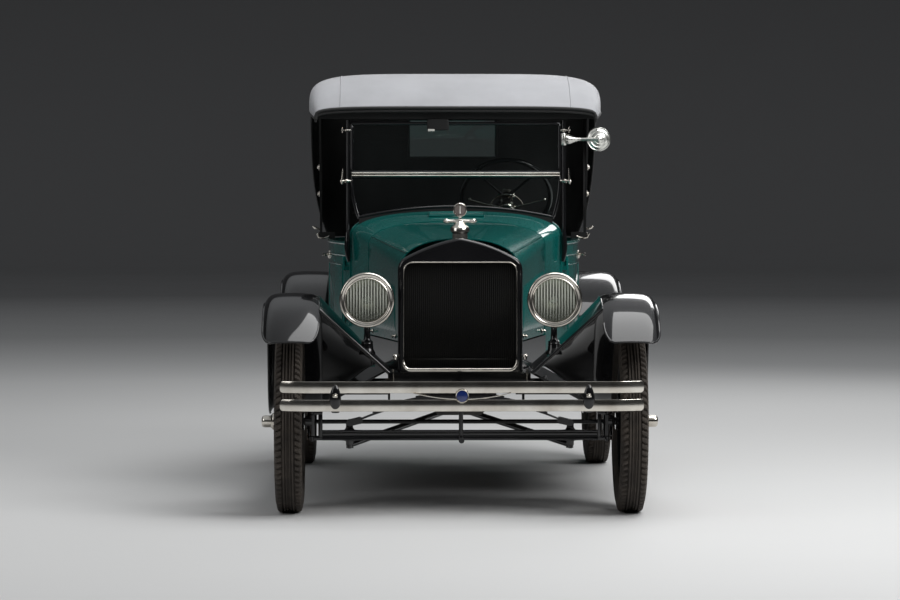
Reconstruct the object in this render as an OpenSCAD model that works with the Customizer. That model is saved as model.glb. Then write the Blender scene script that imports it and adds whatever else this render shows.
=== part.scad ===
// Vintage roadster pickup with a folding top, drawn in millimetres.
// +Z is up, -Y is the front of the vehicle and +X is its left side; the ground is at z = 0.
// Every module is drawn with the front axle line at y = 0, and on_ground() moves it to the shared origin,
// which lies on the ground at the middle of the overall length.

/* [Chassis] */
// Distance between the tyre centres of one axle
track = 1422; // [1400:2:1450]
// Front axle line to the front face of the bumper
front_overhang = 500; // [480:5:560]
// Rear axle line to the rear face of the tailgate
rear_overhang = 880; // [800:10:950]
// Top of the frame rails above the ground
frame_top = 590; // [580:1:600]
// Outside width over the two frame rails
frame_w = 584; // [576:2:590]
// Depth of a frame rail
rail_h = 76; // [66:1:84]
// Sheet thickness of a frame rail
rail_t = 5; // [4:0.5:6]

/* [Wheels] */
// Outside diameter of a tyre
tyre_od = 757; // [740:1:770]
// Width of a tyre
tyre_w = 112; // [100:1:120]
// Radius of the rim where the tyre seats
rim_r = 267; // [260:1:272]
// Number of wood spokes in a wheel
spoke_count = 12; // [10:2:14]
// Reach of the hub cap outside the middle of the wheel
hub_reach = 119; // [112:1:124]
// Radius of a stub axle in its hub
stub_r = 16; // [14:0.5:18]
// Radius of a rear brake drum
drum_r = 140; // [120:1:150]

/* [Steering] */
// Distance of a kingpin inside the middle of its wheel
kingpin_in = 91; // [85:1:99]
// Radius of a kingpin
kingpin_r = 10; // [8:0.5:12]
// Reach of a steering arm behind its kingpin
arm_reach = 140; // [120:1:160]
// Outside diameter of the steering wheel
steer_d = 430; // [400:2:450]
// Sideways place of the steering column
column_x = 238; // [225:1:245]
// Slope of the steering column from level
column_angle = 35; // [33:0.5:37]

/* [Body] */
// Front axle line to the front of the cowl
cowl_front = 733; // [720:1:745]
// Length of the cowl along the vehicle
cowl_len = 267; // [255:1:280]
// Rear of the cowl to the front edge of the door opening
door_setback = 62; // [55:1:70]
// Length of the door opening
door_len = 498; // [480:1:515]
// Rear edge of the door opening to the rear face of the cab
quarter_len = 430; // [420:1:440]
// Rear face of the cab to the rear axle line
axle_setback = 550; // [545:1:580]
// Height of the belt line above the ground
belt_z = 1108; // [1095:1:1120]
// Half width of the body at the front of the cowl
cowl_front_hw = 388; // [380:1:395]
// Half width of the body at the rear of the cowl
cowl_rear_hw = 468; // [462:1:474]
// Half width of the body at the rear of the doors
door_hw = 573; // [566:1:580]
// Thickness of a whole door or body wall
wall = 30; // [24:1:36]
// Gap round a door
door_gap = 5; // [5:0.5:7]

/* [Radiator] */
// Half width of the radiator shell
shell_hw = 260; // [256:1:266]
// Top of the radiator shell above the ground
shell_top = 1148; // [1140:1:1156]
// Depth of the radiator shell along the vehicle
shell_d = 125; // [115:1:130]
// Number of fins across the radiator core
fin_count = 56; // [40:1:64]

/* [Top and windshield] */
// Slope of the windshield backwards from upright
screen_rake = 6; // [4:0.5:8]
// Height of the windshield frame above its foot
screen_rise = 450; // [435:1:460]
// Reach of the windshield frame outside the cowl
screen_cover = 2; // [0:0.5:4]
// Half width of the folding top
top_hw = 656; // [640:1:665]
// Height of the folding top above the windshield
top_rise = 212; // [200:1:230]

/* [Bed] */
// Outside width of the load bed
bed_w = 1084; // [1060:2:1090]
// Depth of the load bed inside
bed_depth = 330; // [300:2:350]
// Thickness of a bed wall
bed_wall = 22; // [16:1:26]

/* [Fenders and lamps] */
// Reach of a fender outside its tyre
fender_cover = 48; // [44:1:52]
// Width of a front fender crown
crown_w = 230; // [220:1:240]
// Radius of the front fender about its axle
front_arch_r = 538; // [528:1:546]
// Radius of the rear fender about its axle
rear_arch_r = 552; // [544:1:560]
// Top of the running boards above the ground
board_z = 415; // [405:1:425]
// Outside diameter of a headlamp rim
lamp_d = 228; // [216:1:236]
// Distance of a headlamp from the middle of the vehicle
lamp_x = 387; // [380:1:394]
// Height of the headlamp centres above the ground
lamp_z = 895; // [885:1:905]

/* [Hidden] */
$fn = 48;

// Overall places along the vehicle
cowl_rear = cowl_front + cowl_len;
door_front = cowl_rear + door_setback;
door_rear = door_front + door_len;
cab_rear = door_rear + quarter_len;
wheelbase = cab_rear + axle_setback;
y_front = -front_overhang;
y_rear = wheelbase + rear_overhang;
origin_y = (y_front + y_rear) / 2;

// Clearances
fit = 0.05;        // a shaft in its bore
seat_gap = 0.3;    // curved or slanted faces that meet
play = 5;          // a moving panel beside a fixed one

// Colours of the finishes
paint_green = [0.0, 0.30, 0.27];
paint_black = [0.02, 0.02, 0.022];
nickel = [0.78, 0.74, 0.68];
cast_grey = [0.22, 0.22, 0.22];
rubber_black = [0.05, 0.045, 0.04];
spoke_wood = [0.42, 0.24, 0.11];
board_wood = [0.35, 0.24, 0.14];
leather_black = [0.03, 0.03, 0.03];
cloth_grey = [0.12, 0.12, 0.13];
clear_glass = [0.75, 0.85, 0.88, 0.35];

// Wheels and axles
wheel_r = tyre_od / 2;
wheel_x = track / 2;
kingpin_x = wheel_x - kingpin_in;
hub_in = 60;                  // hub inside the middle of the wheel
hub_r = 36;
flange_r = 76;
felloe_in = rim_r - 45;
rail_in = frame_w / 2 - rail_t;
flange_w = 42;
rail_front = -120;
rail_rear = wheelbase + 120;
cross_top = frame_top - rail_t;
cross_bottom = frame_top - rail_h + rail_t;
cross_mid = cowl_rear + 290;
beam_z = wheel_r - 58;        // middle of the front axle beam
beam_h = 42;
ear_r = 20;
ear_t = 18;
ear_low = beam_z - beam_h / 2;
ear_high = wheel_r + 46;
arm_z = ear_low + ear_t + 26;
pin_r = 7;

// Transverse springs: half length, eye height, number and thickness of the leaves
leaf_t = 6;
leaf_count = 7;
leaf_w = 50;
leaf_step = 0.145;            // each leaf is shorter by this share of the longest
shackle_reach = 42;
perch_x = kingpin_x - 158;
spring_half = perch_x - shackle_reach;
spring_eye_z = wheel_r + 4;
spring_pad = 8;
rear_eye_z = wheel_r + 64;

// Body stations
hood_front = shell_d * 0.4 + play;
hood_rear = cowl_front - play;
hood_foot = frame_top + 120;
sheet = 4;
body_foot = frame_top - 24;
floor_t = 25;
floor_z = frame_top + floor_t;
cab_hw = door_hw - 8;
corner_r = 120;
screen_y = cowl_rear - 15;
frame_bar = 16;
bed_front = cab_rear + 20;
bed_bottom = frame_top + 90;
bed_floor = bed_bottom + 20;
bed_hw = bed_w / 2;
bed_top = bed_floor + bed_depth;
gate_y = y_rear - bed_wall;
gate_pivot_y = gate_y + bed_wall / 2;
gate_pivot_z = bed_bottom - 8;

// Steering column: the middle of the steering wheel
steer_back = 388;             // behind the front of the doors
steer_y = door_front + steer_back;
steer_z = belt_z + 196;

module on_ground() {
  translate([0, -origin_y, 0]) children();
}

module both_sides() {
  children();
  mirror([1, 0, 0]) children();
}

// An outline in x and z, carried along the vehicle from one place to another
module along_y(from, to) {
  translate([0, to, 0]) rotate([90, 0, 0]) linear_extrude(to - from) children();
}

// An outline in y and z, carried across the vehicle from one place to another
module along_x(from, to) {
  translate([from, 0, 0]) rotate([90, 0, 90]) linear_extrude(to - from) children();
}

// A round bar from one point to another
module rod(from, to, r, end_r) {
  way = to - from;
  reach = norm(way);
  translate(from)
    rotate([0, acos(way.z / reach), atan2(way.y, way.x)])
      cylinder(r1 = r, r2 = is_undef(end_r) ? r : end_r, h = reach);
}

// A sheet whose two faces are matching grids of points, outer[row][place] and inner[row][place]
module sheet_solid(outer, inner) {
  m = len(outer);
  k = len(outer[0]);
  n = m * k;
  way = cross(outer[0][1] - outer[0][0], outer[1][0] - outer[0][0]) * (outer[0][0] - inner[0][0]);
  faces = concat(
    [for (j = [0:m - 2], i = [0:k - 2]) let (a = j * k + i)
      each [[a, a + 1, a + k + 1], [a, a + k + 1, a + k]]],
    [for (j = [0:m - 2], i = [0:k - 2]) let (a = n + j * k + i)
      each [[a, a + k + 1, a + 1], [a, a + k, a + k + 1]]],
    [for (i = [0:k - 2]) each [[i + 1, i, i + n], [i + 1, i + n, i + 1 + n]]],
    [for (i = [0:k - 2]) let (b = n - k + i) each [[b, b + 1, b + 1 + n], [b, b + 1 + n, b + n]]],
    [for (j = [0:m - 2]) let (c = j * k) each [[c, c + k, c + k + n], [c, c + k + n, c + n]]],
    [for (j = [0:m - 2]) let (d = j * k + k - 1) each [[d + k, d, d + n], [d + k, d + n, d + k + n]]]
  );
  polyhedron(
    points = concat([for (row = outer) each row], [for (row = inner) each row]),
    faces = way > 0 ? [for (f = faces) backwards(f)] : faces
  );
}

function backwards(list) = [for (i = [len(list) - 1:-1:0]) list[i]];
function at_y(y, outline) = [for (p = outline) [p.x, y, p.y]];
function curve_power(c, e) = sign(c) * pow(abs(c), e);
function mix(a, b, t) = a + (b - a) * t;

// A point of a station's crown at angle a: half width, base height, rise and roundness give its superellipse
function crown_point(s, a, t = 0) = [
  (s[1] - t) * curve_power(cos(a), 2 / s[4]),
  s[2] + (s[3] - t) * curve_power(sin(a), 2 / s[4])
];

// Stations of the hood and the cowl
// columns: y, half width, base of the crown, rise of the crown, roundness, angle of the hinge line
hood_stations = [
  [hood_front, shell_hw - 6, shell_top - 143, 138, 2.3, 31],
  [hood_rear, cowl_front_hw - 2, shell_top - 57, 112, 2.5, 19]
];
cowl_stations = [
  [cowl_front, cowl_front_hw, shell_top - 55, 112, 2.5],
  [cowl_rear, cowl_rear_hw, shell_top - 20, 118, 2.6]
];
function cowl_at(y) = let (t = (y - cowl_front) / (cowl_rear - cowl_front))
  [for (k = [0:4]) k == 0 ? y : mix(cowl_stations[0][k], cowl_stations[1][k], t)];

hinge_gap = 6;                // leaf edge to the hinge line
function crown_edge(s) = acos(pow(hinge_gap / s[1], s[4] / 2));
hood_axis = [for (s = hood_stations) [0, s[0], s[2] + s[3]]];
shoulder = [for (s = hood_stations) let (p = crown_point(s, s[5])) [p.x, s[0], p.y]];

// Frame rails: a pressed channel along each side
module frame_rails() {
  color(paint_black) both_sides()
    along_y(rail_front, rail_rear)
      translate([rail_in + rail_t - flange_w, frame_top - rail_h])
        difference() {
          square([flange_w, rail_h]);
          translate([-1, rail_t]) square([flange_w - rail_t + 1, rail_h - 2 * rail_t]);
        }
}

// Crossmembers: hat channels between the rails, the rear one arched over its spring
cross_half = 45;
arch_lift = 56;
arch_foot = 62;               // flat end of the arched member inside a rail
module crossmembers() {
  h = cross_top - cross_bottom;
  foot = rail_in - arch_foot;
  flat = 155;        // half length of the raised middle
  slant = 15;        // inner outline inside the outer one
  half = [[rail_in, cross_bottom], [rail_in, cross_top], [foot, cross_top], [flat, cross_top + arch_lift]];
  under = [[flat - slant, cross_bottom + arch_lift], [foot - slant, cross_bottom]];
  arch = concat(half, [for (p = backwards(half)) [-p.x, p.y]],
    [for (p = backwards(under)) [-p.x, p.y]], under);
  color(paint_black) {
    for (y = [0, cross_mid])
      along_x(-rail_in, rail_in)
        translate([y, cross_bottom])
          difference() {
            translate([-cross_half, 0]) square([2 * cross_half, h]);
            translate([-cross_half + rail_t, -1]) square([2 * (cross_half - rail_t), h - rail_t + 1]);
          }
    difference() {
      along_y(wheelbase - cross_half, wheelbase + cross_half) polygon(arch);
      along_y(wheelbase - cross_half + rail_t, wheelbase + cross_half - rail_t)
        translate([0, -rail_t]) polygon(arch);
    }
  }
}

// Engine and transmission as one plain block, with its oil pan and the arms that carry it
engine_front = 62;
engine_hw = 125;
pan_low = frame_top - 190;
module engine() {
  arm_y = cowl_rear - 120;
  color(cast_grey) {
    translate([-engine_hw, engine_front + 60, frame_top - 5])
      cube([2 * engine_hw, cowl_front - 20 - engine_front - 60, 375]);
    along_y(engine_front, cowl_rear)
      polygon([[-170, frame_top - 5], [-150, pan_low + 60], [-90, pan_low], [90, pan_low],
        [150, pan_low + 60], [170, frame_top - 5]]);
    along_y(engine_front - 17, engine_front + 1)
      translate([-60, cross_bottom + 6]) square([120, cross_top - cross_bottom - 12]);
    translate([-rail_in, arm_y, cross_bottom]) cube([2 * rail_in, 40, 30]);
  }
}

// Exhaust pipe and muffler along the right rail
module exhaust() {
  x = -190;
  z = frame_top - 100;
  muffler_z = z + 25;
  pipe_r = 18;
  muffler_r = 50;
  muffler_end = cab_rear - 60;
  color(cast_grey) {
    rod([x, cowl_front - 33, z], [x, door_rear + 1, z], pipe_r);
    rod([x, door_rear, muffler_z], [x, muffler_end, muffler_z], muffler_r);
    rod([x, muffler_end - 1, z], [x, muffler_end + 250, z], pipe_r);
    for (y = [door_rear + 40, muffler_end - 60])
      translate([x - 8, y, muffler_z]) cube([16, 24, frame_top - muffler_z]);
  }
}

// Starting crank hanging in front of the axle
module starting_crank() {
  z = frame_top - 140;
  end_y = -235;
  color(paint_black) {
    rod([0, end_y, z], [0, engine_front, z], 9);
    rod([0, end_y, z + 10], [0, end_y, z - 125], 9);
    rod([0, end_y + 5, z - 125], [0, end_y - 130, z - 125], 12);
  }
}

// Front axle: an I beam with a yoke and kingpin at each end, and the spring perches
module front_axle() {
  web = 10;
  beam_w = 38;
  beam_half = kingpin_x - 44;
  color(paint_black) {
    along_x(-beam_half, beam_half)
      translate([0, beam_z])
        difference() {
          square([beam_w, beam_h], center = true);
          for (side = [-1, 1])
            translate([side * (beam_w / 2 + web / 2), 0])
              square([beam_w, beam_h - 2 * web], center = true);
        }
    both_sides() {
      translate([kingpin_x - 45, -ear_r, ear_low]) cube([18, 2 * ear_r, ear_high - ear_low]);
      for (z = [ear_low, ear_high - ear_t]) {
        translate([kingpin_x, 0, z]) cylinder(r = ear_r, h = ear_t);
        translate([kingpin_x - 45, -ear_r, z]) cube([45, 2 * ear_r, ear_t]);
      }
      translate([kingpin_x, 0, ear_low - 6]) cylinder(r = kingpin_r, h = ear_high - ear_low + 12);
      translate([perch_x, 0, beam_z]) cylinder(r = 15, h = spring_eye_z - 18 - beam_z);
      difference() {
        translate([perch_x, leaf_w / 2, spring_eye_z - 10]) rotate([90, 0, 0])
          cylinder(r = 15, h = leaf_w);
        translate([perch_x, leaf_w, spring_eye_z - 10]) rotate([90, 0, 0])
          cylinder(r = pin_r + fit, h = 2 * leaf_w);
      }
      translate([perch_x - 18, -18, beam_z - beam_h / 2 - 36]) cube([36, 36, 37]);
    }
  }
}

// A transverse leaf spring, its middle under the crossmember and its ends on shackles
module leaf_spring(eye_z, half, pad, seat_z) {
  rise = seat_z - pad - leaf_count * leaf_t - eye_z;
  radius = (half * half + rise * rise) / (2 * rise);
  span = asin(half / radius);
  middle_z = eye_z + rise - radius;
  link_x = perch_x - half;
  along_y(-leaf_w / 2, leaf_w / 2)
    translate([0, middle_z]) {
      for (k = [0:leaf_count - 1]) {
        turn = span * (1 - leaf_step * k);
        inner = radius + k * leaf_t;
        intersection() {
          difference() {
            circle(r = inner + leaf_t);
            circle(r = inner);
          }
          polygon([[0, 0], [2 * radius * sin(turn), 2 * radius * cos(turn)],
            [-2 * radius * sin(turn), 2 * radius * cos(turn)]]);
        }
      }
      translate([-60, radius + leaf_t * leaf_count - leaf_t])
        square([120, pad + leaf_t]);
    }
  both_sides() {
    translate([half, leaf_w / 2, eye_z]) rotate([90, 0, 0]) cylinder(r = 14, h = leaf_w);
    for (y = [-leaf_w / 2 - 7, leaf_w / 2 + 1])
      along_y(y, y + 6)
        hull_link([half, eye_z], [half + link_x, eye_z - 10], 13);
    for (p = [[half, eye_z], [half + link_x, eye_z - 10]])
      translate([p.x, leaf_w / 2 + 10, p.y]) rotate([90, 0, 0]) cylinder(r = pin_r, h = leaf_w + 20);
  }
}

// A flat link with round ends, between two points of its plane
module hull_link(a, b, r) {
  way = b - a;
  translate(a) circle(r = r);
  translate(b) circle(r = r);
  translate(a) rotate(atan2(way.y, way.x)) translate([0, -r]) square([norm(way), 2 * r]);
}

module front_spring() {
  color(paint_black) leaf_spring(spring_eye_z, spring_half, spring_pad, cross_bottom);
}

// Front radius rods from under the spring perches to a ball below the engine
module radius_rod() {
  ball = [0, cowl_rear - 70, pan_low - 26 - seat_gap];
  rod_z = beam_z - beam_h / 2 - 20;
  color(paint_black) {
    both_sides() {
      rod([perch_x - 4, 34, rod_z], ball, 13);
      translate([perch_x - 16, 18, rod_z - 15]) cube([30, 30, 30]);
    }
    translate(ball) sphere(r = 26);
  }
}

// Rear axle: differential, axle tubes, drive shaft tube and radius rods
module rear_axle() {
  pumpkin_r = 128;
  tube_r = 30;
  tube_end = wheel_x - hub_in - 12;
  joint_y = cowl_rear + 6;
  joint_z = frame_top - 100;
  color(paint_black) translate([0, wheelbase, wheel_r]) {
    rotate([0, 90, 0]) rotate_extrude()
      polygon([[0, -tube_end], [tube_r, -tube_end], [tube_r, -230], [70, -75], [pumpkin_r, -40],
        [pumpkin_r, 40], [70, 75], [tube_r, 230], [tube_r, tube_end], [0, tube_end]]);
    both_sides() {
      rotate([0, 90, 0]) translate([0, 0, tube_end - 12]) cylinder(r = drum_r - 10, h = 12);
      rotate([0, 90, 0]) translate([0, 0, tube_end]) cylinder(r = stub_r, h = wheel_x + 60 - tube_end);
      translate([perch_x, 0, 10]) cylinder(r = 12, h = rear_eye_z - wheel_r - 28);
      translate([perch_x, 0, rear_eye_z - 10 - wheel_r]) rotate([90, 0, 0]) difference() {
        cylinder(r = 13, h = leaf_w, center = true);
        cylinder(r = pin_r + fit, h = 2 * leaf_w, center = true);
      }
      rod([tube_end - 50, -12, -4], [30, joint_y - wheelbase + 160, joint_z - wheel_r - 12], 11);
    }
    rod([0, -60, 0], [0, joint_y - wheelbase, joint_z - wheel_r], 38);
  }
}

module rear_spring() {
  color(paint_black) translate([0, wheelbase, 0])
    leaf_spring(rear_eye_z, spring_half, spring_pad, cross_bottom + arch_lift - rail_t);
}

// Outline of the radiator shell from its pointed top to its foot, moved inwards by t
arch_r = 735;
arch_slope = 10;
arch_fillet = 62;
arch_x = -arch_r * sin(arch_slope);
arch_z = shell_top - arch_r * cos(arch_slope);
fillet_z = arch_z + sqrt(pow(arch_r - arch_fillet, 2) - pow(shell_hw - arch_fillet - arch_x, 2));
arch_end = atan2(fillet_z - arch_z, shell_hw - arch_fillet - arch_x);
function shell_half(t, foot) = let (start = acos(-arch_x / (arch_r - t))) concat(
  [for (k = [0:8]) let (a = mix(start, arch_end, k / 8))
    [arch_x + (arch_r - t) * cos(a), arch_z + (arch_r - t) * sin(a)]],
  [for (k = [1:7]) let (a = mix(arch_end, 0, k / 7))
    [shell_hw - arch_fillet + (arch_fillet - t) * cos(a), fillet_z + (arch_fillet - t) * sin(a)]],
  [[shell_hw - t, foot]]
);
function mirrored(half) = concat(half, [for (i = [len(half) - 1:-1:1]) [-half[i].x, half[i].y]]);

shell_front = -shell_d * 0.6;
shell_back = shell_d * 0.4;
shell_t = 12;
core_hw = shell_hw - 25;
core_low = frame_top + 14;
core_high = shell_top - 105;
neck_r = 32;
neck_y = -10;

// Radiator shell: a pointed arch with an opening for the core and a hole for the filler neck
module radiator_shell() {
  color(paint_black) difference() {
    along_y(shell_front, shell_back) polygon(mirrored(shell_half(0, frame_top)));
    along_y(shell_front + shell_t, shell_back + 1) polygon(mirrored(shell_half(shell_t, frame_top - 1)));
    along_y(shell_front - 1, shell_front + shell_t + 1)
      translate([-core_hw, core_low]) square([2 * core_hw, core_high - core_low]);
    translate([0, neck_y, shell_top - 60]) cylinder(r = neck_r + seat_gap, h = 120);
  }
}

// Radiator core and tank, with a row of upright fins behind the opening
module radiator_core() {
  inset = 16;
  pitch = 2 * (core_hw - 4) / fin_count;
  color(cast_grey) {
    intersection() {
      along_y(-44, 44) polygon(mirrored(shell_half(inset, cross_top)));
      translate([-shell_hw, -60, cross_top]) cube([2 * shell_hw, 120, shell_top - 30 - cross_top]);
    }
    for (k = [0:fin_count])
      translate([-core_hw + 3 + k * pitch, -54, core_low + 2])
        cube([2, 11, core_high - core_low - 4]);
  }
}

// Filler neck, cap bar with ball ends and the round gauge over them
cap_z = shell_top + 68;
gauge_r = 29;
module radiator_cap() {
  color(nickel) translate([0, neck_y, 0]) {
    translate([0, 0, shell_top - 30]) cylinder(r = neck_r, h = 52);
    translate([0, 0, shell_top + 20]) cylinder(r = 37, h = 22);
    translate([0, 0, shell_top + 40]) cylinder(r1 = 34, r2 = 13, h = 30);
    rod([-62, 0, cap_z], [62, 0, cap_z], 8);
    for (side = [-1, 1]) translate([side * 62, 0, cap_z]) sphere(r = 11);
    translate([0, 0, cap_z]) cylinder(r = 9, h = 30);
    translate([0, 9, cap_z + 47]) rotate([90, 0, 0]) cylinder(r = gauge_r, h = 18);
  }
}

// Rod of the hood's centre hinge
module hood_rod() {
  way = hood_axis[1] - hood_axis[0];
  color(paint_black) intersection() {
    rod(hood_axis[0] - way, hood_axis[1] + way, 5);
    translate([-20, shell_back, shell_top - 60]) cube([40, cowl_front - shell_back, 200]);
  }
}

function foot_x(y) = mix(shell_hw - 10, cowl_front_hw - 4, (y - hood_front) / (hood_rear - hood_front));

// Hood sills on the frame below the hood sides
module hood_sills() {
  t = 14;
  out = 4;
  y1 = cowl_front;
  y0 = shell_back;
  color(paint_black) both_sides()
    translate([0, 0, frame_top])
      linear_extrude(hood_foot - play - frame_top)
        polygon([[foot_x(y0) + out - t, y0], [foot_x(y0) + out, y0],
          [foot_x(y1) + out, y1], [foot_x(y1) + out - t, y1]]);
}

// One hood top leaf, between the centre hinge and the hinge line of the side leaf
function leaf_face(s, t) = at_y(s[0], [for (k = [0:10]) crown_point(s, mix(crown_edge(s), s[5], k / 10), t)]);
module hood_top() {
  sheet_solid([for (s = hood_stations) leaf_face(s, 0)], [for (s = hood_stations) leaf_face(s, sheet)]);
  rod(shoulder[0], shoulder[1], bead_r);
}
module hood_top_left() {
  color(paint_green) hood_top();
}
module hood_top_right() {
  color(paint_green) mirror([1, 0, 0]) hood_top();
}

// One hood side leaf, from below the hinge line to the sill
bead_r = 4;
leaf_gap = 1.2;               // edge of a side leaf to the bead of its hinge line
function side_start(s) = s[5] - (bead_r + leaf_gap) / norm(crown_point(s, s[5]) - crown_point(s, s[5] - 1));
function side_face(s, t) = at_y(s[0], concat(
  [for (k = [0:6]) crown_point(s, mix(side_start(s), 0, k / 6), t)],
  [[foot_x(s[0]) - t, hood_foot]]
));
module hood_side() {
  sheet_solid([for (s = hood_stations) side_face(s, 0)], [for (s = hood_stations) side_face(s, sheet)]);
}
module hood_side_left() {
  color(paint_green) hood_side();
}
module hood_side_right() {
  color(paint_green) mirror([1, 0, 0]) hood_side();
}

// Cowl between hood and doors, with the firewall
function cowl_outline(s, t) = concat(
  [[s[1] - t, body_foot]],
  [for (k = [0:14]) crown_point(s, k * 180 / 14, t)],
  [[t - s[1], body_foot]]
);
module cowl() {
  color(paint_green) {
    sheet_solid([for (s = cowl_stations) at_y(s[0], cowl_outline(s, 0))],
      [for (s = cowl_stations) at_y(s[0], cowl_outline(s, wall))]);
    difference() {
      intersection() {
        along_y(cowl_front + 4, cowl_front + 14) polygon(cowl_outline(cowl_stations[0], wall - 4));
        translate([-600, 0, frame_top + 130]) cube([1200, 2000, 1000]);
      }
      column_line(26);
    }
  }
}

// Dash panel inside the rear edge of the cowl
module dash_panel() {
  y = cowl_rear - 14;
  color(paint_green) intersection() {
    along_y(y, y + 12) polygon(cowl_outline(cowl_at(y), wall + 1));
    translate([-600, 0, belt_z - 88]) cube([1200, 2000, 400]);
  }
}

// Plan of the cab from the cowl round the back, moved inwards by t
plan_steps = [[0, 0], [0.1786, 0.305], [0.446, 0.638], [0.714, 0.857], [1, 1]];
function plan_half(t) = concat(
  [for (p = plan_steps) [mix(cowl_rear_hw, door_hw, p.y) - t, mix(cowl_rear, door_rear, p.x)]],
  [[door_hw + 2 - t, cab_rear - 240]],
  [for (k = [0:8]) let (a = k * 90 / 8)
    [cab_hw - corner_r + (corner_r - t) * cos(a), cab_rear - corner_r + (corner_r - t) * sin(a)]]
);
function plan_x(y) = lookup(y, [for (p = plan_half(0)) [p.y, p.x]]);
function plan_loop(t) = let (half = plan_half(t))
  concat(half, [for (p = backwards(half)) [-p.x, p.y]]);

door_low = frame_top + 50;
hinge_z = [door_low + 120, belt_z - 98];
hinge_out = 8;
hinge_x = plan_x(door_front) + hinge_out;
hinge_pin_r = 3;
hinge_r = 7;
rail_gap = 8;                 // body panels beside a frame rail

module cab_ring(low, high) {
  translate([0, 0, low]) linear_extrude(high - low)
    difference() {
      polygon(plan_loop(0));
      polygon(concat([[cowl_rear_hw - wall, cowl_rear - 1], [wall - cowl_rear_hw, cowl_rear - 1]],
        backwards(plan_loop(wall))));
    }
}

module door_space(gap) {
  both_sides()
    translate([200, door_front + gap, door_low + gap])
      cube([600, door_rear - door_front - 2 * gap, belt_z]);
}

// Cab body: sill, pillars and back, with the fixed halves of the door hinges
module cab_body() {
  color(paint_green) {
    difference() {
      cab_ring(body_foot, belt_z);
      door_space(0);
      translate([-frame_w / 2 - rail_gap, cab_rear - corner_r, body_foot - 1])
        cube([frame_w + 2 * rail_gap, 2 * corner_r, frame_top - body_foot + 1]);
    }
    both_sides() for (z = hinge_z) {
      for (low = [z - 30, z + 12]) {
        translate([hinge_x, door_front, low]) cylinder(r = hinge_r, h = 18);
        translate([hinge_x - 26, door_front - hinge_r, low]) cube([26, hinge_r, 18]);
      }
      translate([hinge_x, door_front, z - 34]) cylinder(r = hinge_pin_r, h = 68);
    }
  }
}

// A door with its half of the hinges and a handle
module door() {
  color(paint_green) {
    intersection() {
      cab_ring(door_low, belt_z);
      door_space(door_gap);
      cube([2 * door_hw, y_rear, 2 * belt_z]);
    }
    for (z = hinge_z) difference() {
      union() {
        translate([hinge_x, door_front, z - 11]) cylinder(r = hinge_r, h = 22);
        translate([hinge_x - 22, door_front, z - 11]) cube([22, door_gap + 12, 22]);
      }
      translate([hinge_x, door_front, z - 40]) cylinder(r = hinge_pin_r + fit, h = 80);
      translate([hinge_x - 60, door_front - 20, z - 20]) cube([60 - hinge_r, 20 + door_gap, 40]);
    }
  }
  color(nickel) {
    rod([plan_x(door_rear - 60) - 10, door_rear - 60, belt_z - 70],
      [plan_x(door_rear - 60) + 32, door_rear - 60, belt_z - 70], 7);
    rod([plan_x(door_rear - 60) + 32, door_rear - 50, belt_z - 70],
      [plan_x(door_rear - 60) + 30, door_rear - 140, belt_z - 70], 7);
  }
}
module door_left() {
  door();
}
module door_right() {
  mirror([1, 0, 0]) door();
}

// Floor boards and the sloping toe board
module floor_boards() {
  color(board_wood) {
    translate([0, 0, frame_top]) linear_extrude(floor_t)
      polygon(concat([[cowl_front_hw - wall - 1, cowl_front + 12]], plan_half(wall + seat_gap),
        backwards([for (p = plan_half(wall + seat_gap)) [-p.x, p.y]]),
        [[1 + wall - cowl_front_hw, cowl_front + 12]]));
    along_x(-340, 340)
      polygon([[cowl_rear - 10, floor_z - 1], [cowl_rear + 10, floor_z - 1], [cowl_front + 80, floor_z + 140],
        [cowl_front + 60, floor_z + 140]]);
  }
}

// Seat: a boxed base, a cushion and a back
seat_hw = door_hw - 75;
seat_front = door_rear - 60;
seat_z = floor_z + 175;
seat_rear = cab_rear - wall;
module seat_base() {
  board = 18;
  front = seat_front + 20;
  deep = seat_rear - 30 - front;
  color(board_wood) difference() {
    translate([-seat_hw, front, floor_z]) cube([2 * seat_hw, deep, seat_z - floor_z]);
    translate([-seat_hw + board, front + board, floor_z - 1])
      cube([2 * (seat_hw - board), deep - 2 * board, seat_z - floor_z - board + 1]);
  }
}
module seat_cushion() {
  color(leather_black) along_x(-seat_hw, seat_hw)
    polygon([[seat_front, seat_z], [seat_rear - 110, seat_z], [seat_rear - 130, seat_z + 110],
      [seat_front + 60, seat_z + 140], [seat_front + 20, seat_z + 132], [seat_front, seat_z + 105]]);
}
module seat_back() {
  color(leather_black) intersection() {
    along_x(-seat_hw, seat_hw)
      polygon([[seat_rear - 109, seat_z], [seat_rear - 20, seat_z], [seat_rear - 2, belt_z + 60],
        [seat_rear - 15, belt_z + 108], [seat_rear - 50, belt_z + 115], [seat_rear - 82, belt_z + 95],
        [seat_rear - 100, belt_z + 50], [seat_rear - 129, seat_z + 111]]);
    linear_extrude(2 * belt_z) polygon(plan_loop(wall + 2));
  }
}

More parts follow.
